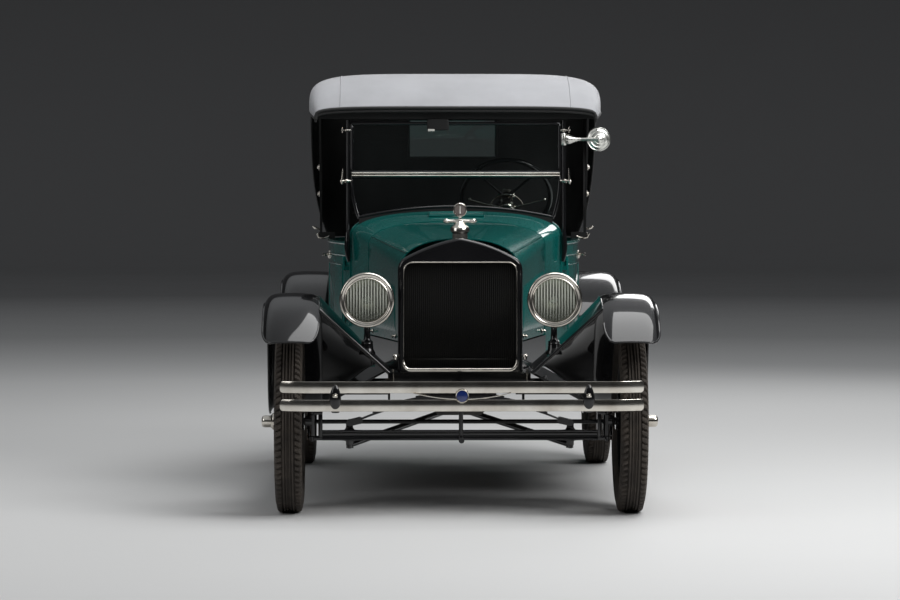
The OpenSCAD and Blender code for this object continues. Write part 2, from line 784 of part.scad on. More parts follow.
// Windshield, drawn upright at the height of the cowl and leaned back
screen_base = shell_top + 52;
screen_top = screen_base + screen_rise;
screen_hw = cowl_rear_hw + screen_cover;
screen_split = mix(screen_base, screen_top, 0.456);
module raked() {
  translate([0, screen_y, screen_base]) rotate([-screen_rake, 0, 0]) children();
}
screen_h = (screen_top - screen_base) / cos(screen_rake);
split_h = (screen_split - screen_base) / cos(screen_rake);
screen_bow = 55;
screen_tuck = 31;             // sides of the lower pane drawn in at its foot
function bow_height(x) = screen_bow * (1 - pow(x / screen_hw, 2));
function lower_half(t) = concat(
  [[0, split_h - 2 - t]],
  [for (u = [0, 0.3, 0.6, 0.85]) [screen_hw - t - screen_tuck * u * u,
    mix(split_h - 2 - t, bow_height(screen_hw - screen_tuck) + t, u)]],
  [for (k = [0:8]) let (x = (screen_hw - screen_tuck - t) * (1 - k / 8)) [x, bow_height(x) + t]]
);
function screen_loop(half) = concat(half, [for (i = [len(half) - 2:-1:1]) [-half[i].x, half[i].y]]);
module upper_pane(t) {
  translate([-screen_hw + t, split_h + 2 + t])
    square([2 * (screen_hw - t), screen_h - split_h - 12 - 2 * t]);
}
module windshield_frame() {
  depth = 14;
  post_w = 16;
  color(paint_black) {
    raked() along_y(-depth / 2, depth / 2) {
      difference() {
        polygon(screen_loop(lower_half(0)));
        polygon(screen_loop(lower_half(frame_bar)));
      }
      difference() {
        upper_pane(0);
        upper_pane(frame_bar);
      }
    }
    both_sides() {
      intersection() {
        raked() translate([screen_hw + 2, -10, -200]) cube([post_w, 20, screen_h + 400]);
        translate([0, 0, belt_z]) cube([1000, 4000, screen_top - belt_z]);
      }
      translate([screen_hw, screen_y - 13, belt_z]) cube([22, 58, 14]);
      for (z = [split_h - 30, split_h + 20, screen_h - 60])
        raked() translate([screen_hw - 8, -6, z]) cube([14, 12, 26]);
    }
  }
}
module window_glass() {
  color(clear_glass) {
    raked() along_y(-2.5, 2.5) {
      polygon(screen_loop(lower_half(frame_bar + 0.2)));
      upper_pane(frame_bar + 0.2);
    }
    rear_pane(curtain_t, 0, 0.2);
  }
}

// Round outside mirror on the left post
mirror_z = screen_top - 87;
mirror_y = screen_y + (mirror_z - screen_base) * tan(screen_rake);
module side_mirror() {
  color(nickel) {
    translate([screen_hw + 18, mirror_y - 9, mirror_z - 12]) cube([10, 18, 24]);
    rod([screen_hw + 27, mirror_y, mirror_z], [screen_hw + 115, mirror_y, mirror_z], 6);
    translate([screen_hw + 166, mirror_y - 8, mirror_z]) rotate([-90, 0, 0]) cylinder(r = 54, h = 16);
  }
}

// Folding top: stations of the roof sheet
// columns: y, draw-in of the half width, side edge and crown as shares of the rise,
// backward shift and share of the drop of the inner face
canopy_t = 6;
canopy_round = 5;
bow_y = screen_y + 465;
back_bow_y = cab_rear - 165;
roof_stations = [
  [screen_y, 34, 0.02, 0.255, 0, 1],
  [screen_y + 95, 12, 0.104, 0.59, 0, 1],
  [screen_y + 265, 0, 0.179, 0.887, 0, 1],
  [bow_y, 0, 0.19, 1, 0, 1],
  [bow_y + 210, 0, 0.19, 0.981, 0, 1],
  [cab_rear - 140, 8, 0.19, 0.877, 2, 0.9],
  [cab_rear - 105, 26, 0.19, 0.708, 4, 0.7],
  [cab_rear - 90, 62, 0.19, 0.387, 6, 0.3],
  [cab_rear - 86, 100, 0.19, 0.21, 6, 0]
];
function roof_column(y, k) = lookup(y, [for (s = roof_stations) [s[0], s[k]]]);
function roof_at(y) = [for (k = [0:5]) k == 0 ? y : roof_column(y, k)];
function roof_half(s, t) = let (low = screen_top + s[2] * top_rise,
  high = screen_top + s[3] * top_rise - s[5] * t)
  [for (k = [0:20]) let (a = k * 9)
    [(top_hw - s[1] - t) * curve_power(cos(a), 2 / canopy_round),
      low + (high - low) * curve_power(sin(a), 2 / canopy_round)]];
function roof_face(s, t) = at_y(s[0] - (t > 0 ? s[4] : 0), roof_half(s, t));

// Rear curtain: plan of the sheet at a height, round the back of the cab
curtain_t = 5;
curtain_r = 105;
curtain_top = screen_top + 0.19 * top_rise - 1;
curtain_low = belt_z + 4;
function curtain_share(z) = (z - curtain_low) / (curtain_top - curtain_low);
function curtain_back(z) = mix(cab_rear + 4, cab_rear - 90, curtain_share(z));
function curtain_hw(z) = mix(door_hw + 4, top_hw - 58, curtain_share(z));
function curtain_front(z) = mix(cab_rear - 150, cab_rear - 330, curtain_share(z));
function curtain_half(z, t) = concat(
  [[curtain_hw(z) - t, curtain_front(z)]],
  [for (k = [0:6]) let (a = k * 15)
    [curtain_hw(z) - curtain_r + (curtain_r - t) * cos(a),
      curtain_back(z) - curtain_r + (curtain_r - t) * sin(a)]]
);
function curtain_face(z, t) = let (half = curtain_half(z, t)) concat([for (p = half) [p.x, p.y, z]],
  [for (p = backwards(half)) [-p.x, p.y, z]]);

// Rear window in the curtain
pane_low = mix(curtain_low, curtain_top, 0.645);
pane_high = mix(curtain_low, curtain_top, 0.945);
pane_hw = 202;
module rear_pane(t, out, gap) {
  lean = atan2(curtain_back(curtain_low) - curtain_back(curtain_top), curtain_top - curtain_low);
  translate([0, curtain_back(pane_low), pane_low]) rotate([lean, 0, 0])
    translate([-pane_hw + gap, out - t, gap])
      cube([2 * (pane_hw - gap), t, (pane_high - pane_low) / cos(lean) - 2 * gap]);
}
module top_canopy() {
  color(cloth_grey) {
    sheet_solid([for (s = roof_stations) roof_face(s, 0)], [for (s = roof_stations) roof_face(s, canopy_t)]);
    difference() {
      sheet_solid([for (z = [curtain_low, curtain_top]) curtain_face(z, 0)],
        [for (z = [curtain_low, curtain_top]) curtain_face(z, curtain_t)]);
      rear_pane(4 * curtain_t, 2 * curtain_t, 0);
    }
  }
}

// Bows and flat irons of the folding top
pivot_y = cab_rear - 250;
iron_x = top_hw - 44;
module top_bows() {
  bow_gap = 4;
  bow_t = 34;
  bow_l = 26;
  reach = 14;      // ends of the irons inside the bows
  side_z = screen_top + 0.19 * top_rise;
  pivot = [pivot_y, belt_z + 14];
  header = [screen_y + 55, screen_top + 16];
  color(paint_black) {
    for (y = [bow_y, back_bow_y])
      along_y(y - bow_l / 2, y + bow_l / 2)
        polygon(concat(roof_half(roof_at(y), canopy_t + bow_gap),
          backwards(roof_half(roof_at(y), canopy_t + bow_gap + bow_t))));
    both_sides() {
      translate([door_hw - 25, pivot_y - 20, belt_z]) cube([iron_x - door_hw + 35, 40, 28]);
      along_x(iron_x - 5, iron_x + 5) {
        hull_link(pivot, [bow_y, side_z + reach], 12);
        hull_link(pivot, [back_bow_y, side_z + reach], 10);
        hull_link(header, [bow_y, side_z + reach], 9);
      }
    }
    translate([-iron_x - 7, header.x - 15, header.y - 12]) cube([2 * iron_x + 14, 30, 24]);
  }
}

// Pickup bed on two long sills, with stake pockets and the fixed halves of the gate hinges
gate_hinge_x = 340;
cap_in = 12;                  // top rails inside the bed walls
module bed() {
  cap_out = 24;
  cap_t = 30;
  sill_w = 60;
  color(paint_green) {
    both_sides() {
      translate([rail_in + rail_t - sill_w, bed_front, frame_top])
        cube([sill_w, gate_y - 60 - bed_front, bed_bottom - frame_top]);
      translate([bed_hw - bed_wall, bed_front, bed_bottom])
        cube([bed_wall, y_rear - bed_front, bed_top - bed_bottom]);
      translate([bed_hw - bed_wall - cap_in, bed_front, bed_top - cap_t])
        cube([bed_wall + cap_in + cap_out, y_rear - bed_front, cap_t]);
      for (y = [bed_front + 60, wheelbase + 640])
        difference() {
          translate([bed_hw - 1, y, bed_top - 260]) cube([34, 70, 232]);
          translate([bed_hw + 5, y + 6, bed_top - 280]) cube([22, 58, 320]);
        }
      for (side = [-1, 1])
        translate([gate_hinge_x + side * 32, gate_pivot_y, gate_pivot_z]) rotate([0, 90, 0])
          cylinder(r = 10, h = 18, center = true);
      for (side = [-1, 1])
        translate([gate_hinge_x + side * 32 - 9, gate_y - 80, gate_pivot_z - 10])
          cube([18, gate_pivot_y - gate_y + 80, 18]);
      translate([gate_hinge_x, gate_pivot_y, gate_pivot_z]) rotate([0, 90, 0])
        cylinder(r = 5, h = 90, center = true);
    }
    translate([-bed_hw + 1, bed_front, bed_bottom])
      cube([2 * bed_hw - 2, gate_y - play - bed_front, bed_floor - bed_bottom]);
    translate([-bed_hw + 1, bed_front, bed_bottom]) cube([2 * bed_hw - 2, bed_wall, bed_top - bed_bottom]);
  }
}

// Tailgate, hinged along its foot
module tailgate() {
  half = bed_hw - bed_wall - cap_in - play;
  color(paint_green) {
    translate([-half, gate_y, bed_bottom + 8]) cube([2 * half, bed_wall, bed_top - bed_bottom - 8]);
    both_sides() difference() {
      union() {
        translate([gate_hinge_x, gate_pivot_y, gate_pivot_z]) rotate([0, 90, 0])
          cylinder(r = 10, h = 44, center = true);
        translate([gate_hinge_x - 22, gate_pivot_y - 7, gate_pivot_z]) cube([44, 14, 40]);
      }
      translate([gate_hinge_x, gate_pivot_y, gate_pivot_z]) rotate([0, 90, 0])
        cylinder(r = 5 + fit, h = 100, center = true);
    }
  }
}

// A domed fender sheet along a path of points [y, z, angle of the normal from upright]
fender_t = 4;
edge_drop = 16;    // inner edge of a fender below its crown
skirt_drop = 44;   // outer edge of a fender below its crown
function dome_section(inner_x, outer_x) = [for (u = [0, 0.06, 0.2, 0.4, 0.6, 0.8, 0.94, 1])
  [mix(inner_x, outer_x, u), u < 0.5 ? edge_drop * pow(1 - 2 * u, 2.4) : skirt_drop * pow(2 * u - 1, 3)]];
function path_face(p, section, t) = [for (q = section)
  [q.x, p[0] - (q.y + t) * sin(p[2]), p[1] - (q.y + t) * cos(p[2])]];
module fender(path, section) {
  sheet_solid([for (p = path) path_face(p, section, 0)], [for (p = path) path_face(p, section, fender_t)]);
}
function arch_path(y, z, r, from, to, n) = [for (k = [0:n]) let (a = mix(from, to, k / n))
  [y + r * sin(a), z + r * cos(a), a]];

fender_hw = wheel_x + tyre_w / 2 + fender_cover;
crown_in = fender_hw - crown_w;
sweep_r = 170;
sweep_z = board_z + sweep_r;
sweep_y = sqrt(pow(front_arch_r + sweep_r, 2) - pow(sweep_z - wheel_r, 2));
sweep_a = atan2(sweep_y, sweep_z - wheel_r);
lip_a = 49;
apron_a = 25;
sweep_path = [for (k = [1:7]) let (b = sweep_a * (1 - k / 7))
  [sweep_y - sweep_r * sin(b), sweep_z - sweep_r * cos(b), b]];
apron_path = concat(arch_path(0, wheel_r, front_arch_r, -apron_a, sweep_a, 16), sweep_path);
lip_path = arch_path(0, wheel_r, front_arch_r, -lip_a, -apron_a, 5);
front_path = concat([for (k = [0:4]) lip_path[k]], apron_path);
apron_z = frame_top + 5;
function apron_x(y) = max(frame_w / 2 + 4, foot_x(y) + 5, y > cowl_front ? cowl_at(y)[1] + 5 : 0);
function apron_face(p, t) = let (drop = edge_drop + t,
  edge = [crown_in, p[0] - drop * sin(p[2]), p[1] - drop * cos(p[2])],
  foot = [apron_x(p[0]), p[0], apron_z - t]) [for (u = [0, 0.25, 0.5, 0.75, 1]) mix(edge, foot, u)];
lamp_y = -150;
boss_r = 24;
function apron_height(x, y) = let (a = asin(y / front_arch_r),
  edge = wheel_r + (front_arch_r - edge_drop) * cos(a))
  mix(apron_z, edge, (x - apron_x(y)) / (crown_in - apron_x(y)));
boss_z = apron_height(lamp_x + boss_r, lamp_y) + 10;
module front_fenders() {
  color(paint_black) both_sides() fender(front_path, dome_section(crown_in, fender_hw));
}

// Aprons between the front fenders and the frame, with the bosses of the headlamp posts
module fender_aprons() {
  color(paint_black) both_sides() {
    sheet_solid([for (p = apron_path) apron_face(p, 0)], [for (p = apron_path) apron_face(p, fender_t)]);
    translate([lamp_x, lamp_y, boss_z - 48]) cylinder(r = boss_r, h = 48);
  }
}

// Rear fenders against the sides of the bed
module rear_fenders() {
  color(paint_black) both_sides()
    fender(arch_path(wheelbase, wheel_r, rear_arch_r, -86, 76, 24),
      dome_section(bed_hw + seat_gap, fender_hw));
}

// Running boards on brackets from the rails
board_in = crown_in + 5;
board_front = sweep_y + 1;
board_rear = wheelbase - rear_arch_r - 8;
module running_boards() {
  color(paint_black) both_sides() {
    translate([board_in, board_front, board_z - 20])
      cube([fender_hw - 10 - board_in, board_rear - board_front, 20]);
    for (y = [board_front + 200, board_rear - 260]) {
      translate([frame_w / 2, y, board_z - 34]) cube([fender_hw - 60 - frame_w / 2, 40, 14]);
      translate([frame_w / 2, y, board_z - 34]) cube([10, 40, 150]);
    }
  }
}

// Splash aprons between the rails and the running boards
module splash_aprons() {
  foot = board_z - 17;
  web = frame_w / 2;
  high = frame_top - 15;
  color(paint_black) both_sides()
    along_y(board_front, board_rear)
      polygon([[web, high], [web + 4, high], [web + 5, high - 13], [board_in - 15, board_z + 1],
        [board_in, board_z - 1], [board_in, foot], [board_in - 18, foot + 4], [web, high - 19]]);
}

// Headlamps on posts from the front fenders
lamp_front = lamp_y - 85;
lamp_r = lamp_d / 2;
module headlamp_shells() {
  color(paint_black) both_sides() {
    translate([lamp_x, 0, lamp_z]) rotate([-90, 0, 0]) translate([0, 0, lamp_front])
      rotate_extrude()
        polygon([[lamp_r - 9, 0], [lamp_r - 9, 40], [lamp_r - 20, 80], [lamp_r - 40, 115], [lamp_r - 70, 142],
          [lamp_r - 95, 158], [0, 164], [0, 158], [lamp_r - 97, 152], [lamp_r - 73, 137], [lamp_r - 44, 111],
          [lamp_r - 24, 78], [lamp_r - 13, 40], [lamp_r - 13, 0]]);
    translate([lamp_x, lamp_y, boss_z]) cylinder(r = 15, h = lamp_z - lamp_r + 20 - boss_z);
    translate([lamp_x, lamp_y, boss_z]) cylinder(r = 22, h = 12);
  }
}
module headlamp_rims() {
  color(nickel) both_sides()
    translate([lamp_x, 0, lamp_z]) rotate([-90, 0, 0]) translate([0, 0, lamp_front - 10])
      rotate_extrude()
        polygon([[lamp_r - 14, 0], [lamp_r - 4, 0], [lamp_r, 5], [lamp_r, 24], [lamp_r - 9 + seat_gap, 26],
          [lamp_r - 9 + seat_gap, 9], [lamp_r - 14, 9]]);
}
module headlamp_lenses() {
  color(clear_glass) both_sides()
    translate([lamp_x, 0, lamp_z]) rotate([-90, 0, 0]) translate([0, 0, lamp_front])
      cylinder(r = lamp_r - 13 - seat_gap, h = 8);
}

// Front bumper: two flat bars with their ends bent back
bar_h = 51;
bar_t = 8;
bar_hw = 740;
bar_z = [frame_top - 113, frame_top - 39];
bar_y = y_front + 4;
clamp_x = 514;
module bumper_bars() {
  plan = [[0, 0], [590, 0], [650, 7], [700, 22], [bar_hw, 44]];
  color(nickel)
    for (z = bar_z)
      intersection() {
        translate([0, 0, z - bar_h / 2]) linear_extrude(bar_h)
          polygon(concat([for (p = plan) [p.x, bar_y + p.y]],
            [for (p = backwards(plan)) [p.x, bar_y + bar_t + p.y]],
            [for (p = plan) if (p.x > 0) [-p.x, bar_y + bar_t + p.y]],
            [for (p = backwards(plan)) if (p.x > 0) [-p.x, bar_y + p.y]]));
        along_y(y_front - 10, y_front + 100)
          hull_link([-bar_hw + bar_h / 2, z], [bar_hw - bar_h / 2, z], bar_h / 2);
      }
}
module bumper_brackets() {
  low = bar_z[0] - bar_h / 2 - 6;
  high = bar_z[1] + bar_h / 2 + 6;
  mid = frame_top - 50;
  color(paint_black) both_sides() {
    translate([clamp_x - 14, bar_y + bar_t, low]) cube([28, 10, high - low]);
    translate([clamp_x - 14, y_front, low]) cube([28, 4, high - low]);
    for (z = [low, high - 6]) translate([clamp_x - 14, y_front, z]) cube([28, 22, 6 - seat_gap]);
    rod([clamp_x, bar_y + bar_t + 6, mid], [frame_w / 2 + 14, -90, mid], 12);
    translate([frame_w / 2, -110, mid - 20]) cube([24, 90, 40]);
  }
}

// Steering column: the line of the column below the wheel
module column_frame() {
  translate([column_x, steer_y, steer_z]) rotate([column_angle - 90, 0, 0]) children();
}
module column_line(r) {
  column_frame() translate([0, 0, -3000]) cylinder(r = r, h = 3000);
}
column_r = 19;
shaft_r = 11;
column_foot = frame_top + 4;
column_len = (steer_z - column_foot - 20) / sin(column_angle);
module steering_column() {
  foot_y = steer_y - column_len * cos(column_angle);
  color(paint_black) {
    column_frame() {
      translate([0, 0, -column_len]) cylinder(r = column_r, h = column_len - 55);
      translate([0, 0, -56]) cylinder(r = shaft_r, h = 70);
    }
    translate([column_x - 14, foot_y - 10, frame_top]) cube([frame_w / 2 - column_x + 8, 50, 34]);
  }
  color(nickel) column_frame() {
    rod([0, 0, -90], [-150, 30, -70], 4);
    rod([0, 0, -90], [150, 30, -70], 4);
  }
}
module steering_wheel() {
  rim_t = 13;
  color(paint_black) column_frame() {
    rotate_extrude() translate([steer_d / 2 - rim_t, 0]) circle(r = rim_t);
    for (a = [45:90:315])
      rotate([0, 0, a]) rod([24, 0, -8], [steer_d / 2 - rim_t, 0, 0], 8);
  }
  color(nickel) column_frame() difference() {
    union() {
      translate([0, 0, -34]) cylinder(r = 30, h = 50);
      translate([0, 0, 16]) cylinder(r1 = 44, r2 = 20, h = 14);
    }
    translate([0, 0, -60]) cylinder(r = shaft_r + fit, h = 76);
  }
}

// Steering knuckles on the kingpins, with the stub axles and the steering arms
module knuckle(side) {
  low = ear_low + ear_t + 1;
  high = ear_high - ear_t - 1;
  x = side * kingpin_x;
  color(paint_black) difference() {
    union() {
      translate([x, 0, low]) cylinder(r = ear_r, h = high - low);
      rod([x, 0, wheel_r], [side * (wheel_x - hub_in - 4), 0, wheel_r], 24);
      rod([x, 0, wheel_r], [side * (wheel_x + 70), 0, wheel_r], stub_r);
      rod([x, 0, arm_z], [x, arm_reach, arm_z], 9);
      translate([x, arm_reach, arm_z - 11]) cylinder(r = 16, h = 22);
      translate([x, arm_reach, arm_z]) cylinder(r = pin_r, h = 42);
    }
    translate([x, 0, low - 20]) cylinder(r = kingpin_r + fit, h = high - low + 40);
  }
}
module knuckle_left() {
  knuckle(1);
}
module knuckle_right() {
  knuckle(-1);
}

// Tie rod between the steering arms
module tie_rod() {
  z = arm_z + 24;
  color(paint_black) difference() {
    union() {
      rod([-kingpin_x, arm_reach, z], [kingpin_x, arm_reach, z], 9);
      for (side = [-1, 1]) translate([side * kingpin_x, arm_reach, z - 12]) cylinder(r = 16, h = 24);
    }
    translate([kingpin_x, arm_reach, z - 40]) cylinder(r = pin_r + fit, h = 80);
    translate([-kingpin_x, arm_reach, z - 40]) cylinder(r = pin_r + 2 * fit, h = 80);
  }
}

// A wheel with its axis along z and its outer side up: wood spokes, rim, hub and hub cap
module wheel_body(drum) {
  color(spoke_wood)
    for (k = [0:spoke_count - 1])
      rotate([0, 0, k * 360 / spoke_count]) rod([50, 0, 0], [felloe_in + 10, 0, 0], 19, 15);
  color(nickel) rotate_extrude()
    polygon([[stub_r + fit, -hub_in], [hub_r, -hub_in], [hub_r, -18], [flange_r, -18], [flange_r, 18],
      [hub_r + 4, 26], [hub_r, 40], [hub_r - 2, 72], [28, 76], [27, hub_reach - 16], [22, hub_reach - 5],
      [12, hub_reach], [0, hub_reach], [0, hub_in + 14], [stub_r + fit, hub_in + 14]]);
  color(spoke_wood) rotate_extrude()
    polygon([[felloe_in, -18], [rim_r - 12, -24], [rim_r, -34], [rim_r, 34],
      [rim_r - 12, 24], [felloe_in, 18]]);
  if (drum)
    color(paint_black) rotate_extrude()
      polygon([[hub_r - 2, -26], [drum_r - 8, -26], [drum_r - 8, -hub_in - 6],
        [drum_r, -hub_in - 6], [drum_r, -16], [hub_r - 2, -16]]);
}
module tyre_body() {
  r = tyre_w / 2;
  color(rubber_black) rotate_extrude() difference() {
    union() {
      translate([wheel_r - r, 0]) circle(r = r);
      polygon([[wheel_r - r, -50], [wheel_r - 33, -50], [wheel_r - 4, -46], [wheel_r, -36],
        [wheel_r, 36], [wheel_r - 4, 46], [wheel_r - 33, 50], [wheel_r - r, 50]]);
    }
    translate([0, -100]) square([rim_r + seat_gap, 200]);
  }
}
module at_wheel(side, y) {
  translate([side * wheel_x, y, wheel_r]) rotate([0, side * 90, 0]) children();
}
module wheel_front_left() {
  at_wheel(1, 0) wheel_body(false);
}
module wheel_front_right() {
  at_wheel(-1, 0) wheel_body(false);
}
module wheel_rear_left() {
  at_wheel(1, wheelbase) wheel_body(true);
}
module wheel_rear_right() {
  at_wheel(-1, wheelbase) wheel_body(true);
}
module tyre_front_left() {
  at_wheel(1, 0) tyre_body();
}
module tyre_front_right() {
  at_wheel(-1, 0) tyre_body();
}
module tyre_rear_left() {
  at_wheel(1, wheelbase) tyre_body();
}
module tyre_rear_right() {
  at_wheel(-1, wheelbase) tyre_body();
}

on_ground() frame_rails();
on_ground() crossmembers();
on_ground() engine();
on_ground() exhaust();
on_ground() starting_crank();
on_ground() front_axle();
on_ground() front_spring();
on_ground() radius_rod();
on_ground() rear_axle();
on_ground() rear_spring();
on_ground() radiator_core();
on_ground() radiator_shell();
on_ground() radiator_cap();
on_ground() hood_rod();
on_ground() hood_sills();
on_ground() hood_top_left();
on_ground() hood_top_right();
on_ground() hood_side_left();
on_ground() hood_side_right();
on_ground() cowl();
on_ground() cab_body();
on_ground() floor_boards();
on_ground() dash_panel();
on_ground() seat_base();
on_ground() seat_cushion();
on_ground() seat_back();
on_ground() door_left();
on_ground() door_right();
on_ground() windshield_frame();
on_ground() window_glass();
on_ground() side_mirror();
on_ground() top_canopy();
on_ground() top_bows();
on_ground() bed();
on_ground() tailgate();
on_ground() front_fenders();
on_ground() fender_aprons();
on_ground() rear_fenders();
on_ground() running_boards();
on_ground() splash_aprons();
on_ground() headlamp_shells();
on_ground() headlamp_rims();
on_ground() headlamp_lenses();
on_ground() bumper_bars();
on_ground() bumper_brackets();
on_ground() steering_column();
on_ground() steering_wheel();
on_ground() knuckle_left();
on_ground() knuckle_right();
on_ground() tie_rod();
on_ground() wheel_front_left();
on_ground() wheel_front_right();
on_ground() wheel_rear_left();
on_ground() wheel_rear_right();
on_ground() tyre_front_left();
on_ground() tyre_front_right();
on_ground() tyre_rear_left();
on_ground() tyre_rear_right();
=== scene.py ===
import math

import bmesh
import bpy
import numpy as np
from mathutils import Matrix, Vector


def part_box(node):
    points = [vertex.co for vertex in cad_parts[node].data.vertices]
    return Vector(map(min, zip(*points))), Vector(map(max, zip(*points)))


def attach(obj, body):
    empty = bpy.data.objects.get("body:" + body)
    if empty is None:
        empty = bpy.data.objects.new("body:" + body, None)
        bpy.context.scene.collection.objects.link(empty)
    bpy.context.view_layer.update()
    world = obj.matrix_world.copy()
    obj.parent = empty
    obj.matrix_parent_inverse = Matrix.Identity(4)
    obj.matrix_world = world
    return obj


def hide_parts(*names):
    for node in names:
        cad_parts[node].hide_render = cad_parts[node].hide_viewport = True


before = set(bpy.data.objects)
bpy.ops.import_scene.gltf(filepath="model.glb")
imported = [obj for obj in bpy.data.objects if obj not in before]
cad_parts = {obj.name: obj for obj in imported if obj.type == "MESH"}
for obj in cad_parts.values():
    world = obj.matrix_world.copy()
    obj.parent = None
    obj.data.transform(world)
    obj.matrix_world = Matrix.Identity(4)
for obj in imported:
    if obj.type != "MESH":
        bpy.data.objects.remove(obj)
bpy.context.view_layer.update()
print("frame loaded:", len(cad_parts), "nodes")


# places that many pieces share, read from the solids
def middleOf(node):
    # halfway between the two corners of a solid's box
    low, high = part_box(node)
    return (np.array(low) + np.array(high)) / 2


metre = 1000
frontAxle = middleOf("tyre_front_left")
frontY = frontAxle[1]
trackHalf = frontAxle[0] * metre
wheelBase = (middleOf("tyre_rear_left")[1] - frontY) * metre


# mesh helpers: every shape is a pair of whole arrays, points and faces
def sideBySide(*parts):
    # parts spread to one common shape and set beside each other along a new last axis
    return np.stack(np.broadcast_arrays(*parts), -1)


def onceRound(count):
    # equal angles once round a circle
    return np.linspace(0, 2 * np.pi, count, endpoint=False)


def gridFaces(rows, cols, closeRows=False, closeCols=False):
    # quads between neighbours of a rows by cols grid, wrapped round where it is closed
    r = np.arange(rows if closeRows else rows - 1)
    c = np.arange(cols if closeCols else cols - 1)
    rr, cc = np.meshgrid(r, c, indexing="ij")
    r1 = (rr + 1) % rows
    c1 = (cc + 1) % cols
    quads = np.stack([rr * cols + cc, rr * cols + c1, r1 * cols + c1, r1 * cols + cc], -1)
    return quads.reshape(-1, 4)


def loftRings(rings):
    # rings is rows by cols by 3: neighbouring rings are joined by quads, the end rings are capped
    rows, cols = rings.shape[:2]
    faces = [tuple(q) for q in gridFaces(rows, cols, False, True)]
    faces.append(tuple(range(cols))[::-1])
    faces.append(tuple(range((rows - 1) * cols, rows * cols)))
    return rings.reshape(-1, 3), faces


def powered(value, power):
    # the size of a value raised to a power, with its sign kept
    return np.sign(value) * np.abs(value) ** power


def throughKnots(knots, rows, at):
    # a smooth curve through one row per knot: cubic pieces, with slopes from the neighbours
    slope = np.gradient(rows, knots, axis=0)
    i = np.clip(np.searchsorted(knots, at, side="right") - 1, 0, len(knots) - 2)
    h = (knots[i + 1] - knots[i])[:, None]
    t = (at - knots[i])[:, None] / h
    return ((2 * t ** 3 - 3 * t ** 2 + 1) * rows[i] + (t ** 3 - 2 * t ** 2 + t) * h * slope[i]
            + (3 * t ** 2 - 2 * t ** 3) * rows[i + 1] + (t ** 3 - t ** 2) * h * slope[i + 1])


def pathFrames(path, closed=False):
    # tangent by central differences, then a side vector carried along with the least turning
    path = np.asarray(path, float)
    if closed:
        tangent = np.roll(path, -1, 0) - np.roll(path, 1, 0)
    else:
        tangent = np.gradient(path, axis=0)
    tangent /= np.linalg.norm(tangent, axis=1)[:, None]
    start = np.array([0, 0, 1.0]) if abs(tangent[0][2]) < 0.9 else np.array([1.0, 0, 0])
    side = np.cross(tangent[0], start)
    sides = []
    for t in tangent:
        side = side - t * (side @ t)
        side = side / np.linalg.norm(side)
        sides.append(side)
    sides = np.array(sides)
    return sides, np.cross(tangent, sides)


def tube(path, radius, steps=12, closed=False):
    # a circle of the given radius, or one radius per point, carried along a path
    path = np.asarray(path, float)
    side, up = pathFrames(path, closed)
    a = onceRound(steps)
    r = np.broadcast_to(np.asarray(radius, float), (len(path),))[:, None, None]
    c, d = np.cos(a)[None, :, None], np.sin(a)[None, :, None]
    rings = path[:, None] + r * (c * side[:, None] + d * up[:, None])
    if closed:
        faces = [tuple(q) for q in gridFaces(len(path), steps, True, True)]
        return rings.reshape(-1, 3), faces
    return loftRings(rings)


def revolve(profile, origin, axis, steps=48):
    # profile rows are radius and distance along the axis; the profile is turned once round the axis
    profile = np.asarray(profile, float)
    axis = np.asarray(axis, float) / np.linalg.norm(axis)
    start = np.array([0, 0, 1.0]) if abs(axis[2]) < 0.9 else np.array([1.0, 0, 0])
    u = np.cross(start, axis)
    u /= np.linalg.norm(u)
    v = np.cross(axis, u)
    a = onceRound(steps)
    spokes = np.cos(a)[:, None] * u + np.sin(a)[:, None] * v
    out, along = profile[:, 0][:, None, None], profile[:, 1][:, None, None]
    rings = np.asarray(origin, float) + along * axis + out * spokes[None]
    return rings.reshape(-1, 3), [tuple(q) for q in gridFaces(len(profile), steps, False, True)]


def bar(low, high):
    # a box between two corners
    low, high = np.minimum(low, high), np.maximum(low, high)
    pick = np.array([[0, 0, 0], [1, 0, 0], [1, 1, 0], [0, 1, 0], [0, 0, 1], [1, 0, 1], [1, 1, 1],
                     [0, 1, 1]])
    points = np.where(pick == 1, high, low)
    faces = [(0, 3, 2, 1), (4, 5, 6, 7), (0, 1, 5, 4), (1, 2, 6, 5), (2, 3, 7, 6), (3, 0, 4, 7)]
    return points, faces


def sheetBetween(outer, inner):
    # two matching grids of points, joined by quads on both faces and round the four edges
    rows, cols = outer.shape[:2]
    count = rows * cols
    points = np.concatenate([outer.reshape(-1, 3), inner.reshape(-1, 3)])
    quads = gridFaces(rows, cols)
    index = np.arange(count).reshape(rows, cols)
    edges = [index[0], index[-1][::-1], index[::-1, 0], index[:, -1]]
    strips = [np.stack([e[:-1], e[1:], e[1:] + count, e[:-1] + count], -1) for e in edges]
    faces = np.concatenate([quads, quads[:, ::-1] + count] + strips)
    return points, [tuple(f) for f in faces]


def loopThrough(corners, steps):
    # straight lines from each corner to the next and back to the first, each in equal steps
    after = corners[1:] + corners[:1]
    return np.concatenate([np.linspace(a, b, steps, endpoint=False) for a, b in zip(corners, after)])


def roundedLine(points, reach=26.0, steps=5):
    # a closed outline with each corner replaced by a short quadratic curve
    p = np.asarray(points, float)
    out = []
    for k in range(len(p)):
        a, b, c = p[k - 1], p[k], p[(k + 1) % len(p)]
        ra = min(reach, np.linalg.norm(a - b) * 0.45)
        rc = min(reach, np.linalg.norm(c - b) * 0.45)
        s = b + (a - b) / np.linalg.norm(a - b) * ra
        e = b + (c - b) / np.linalg.norm(c - b) * rc
        t = np.linspace(0, 1, steps)[:, None]
        out.append((1 - t) ** 2 * s + 2 * t * (1 - t) * b + t ** 2 * e)
    return np.concatenate(out)


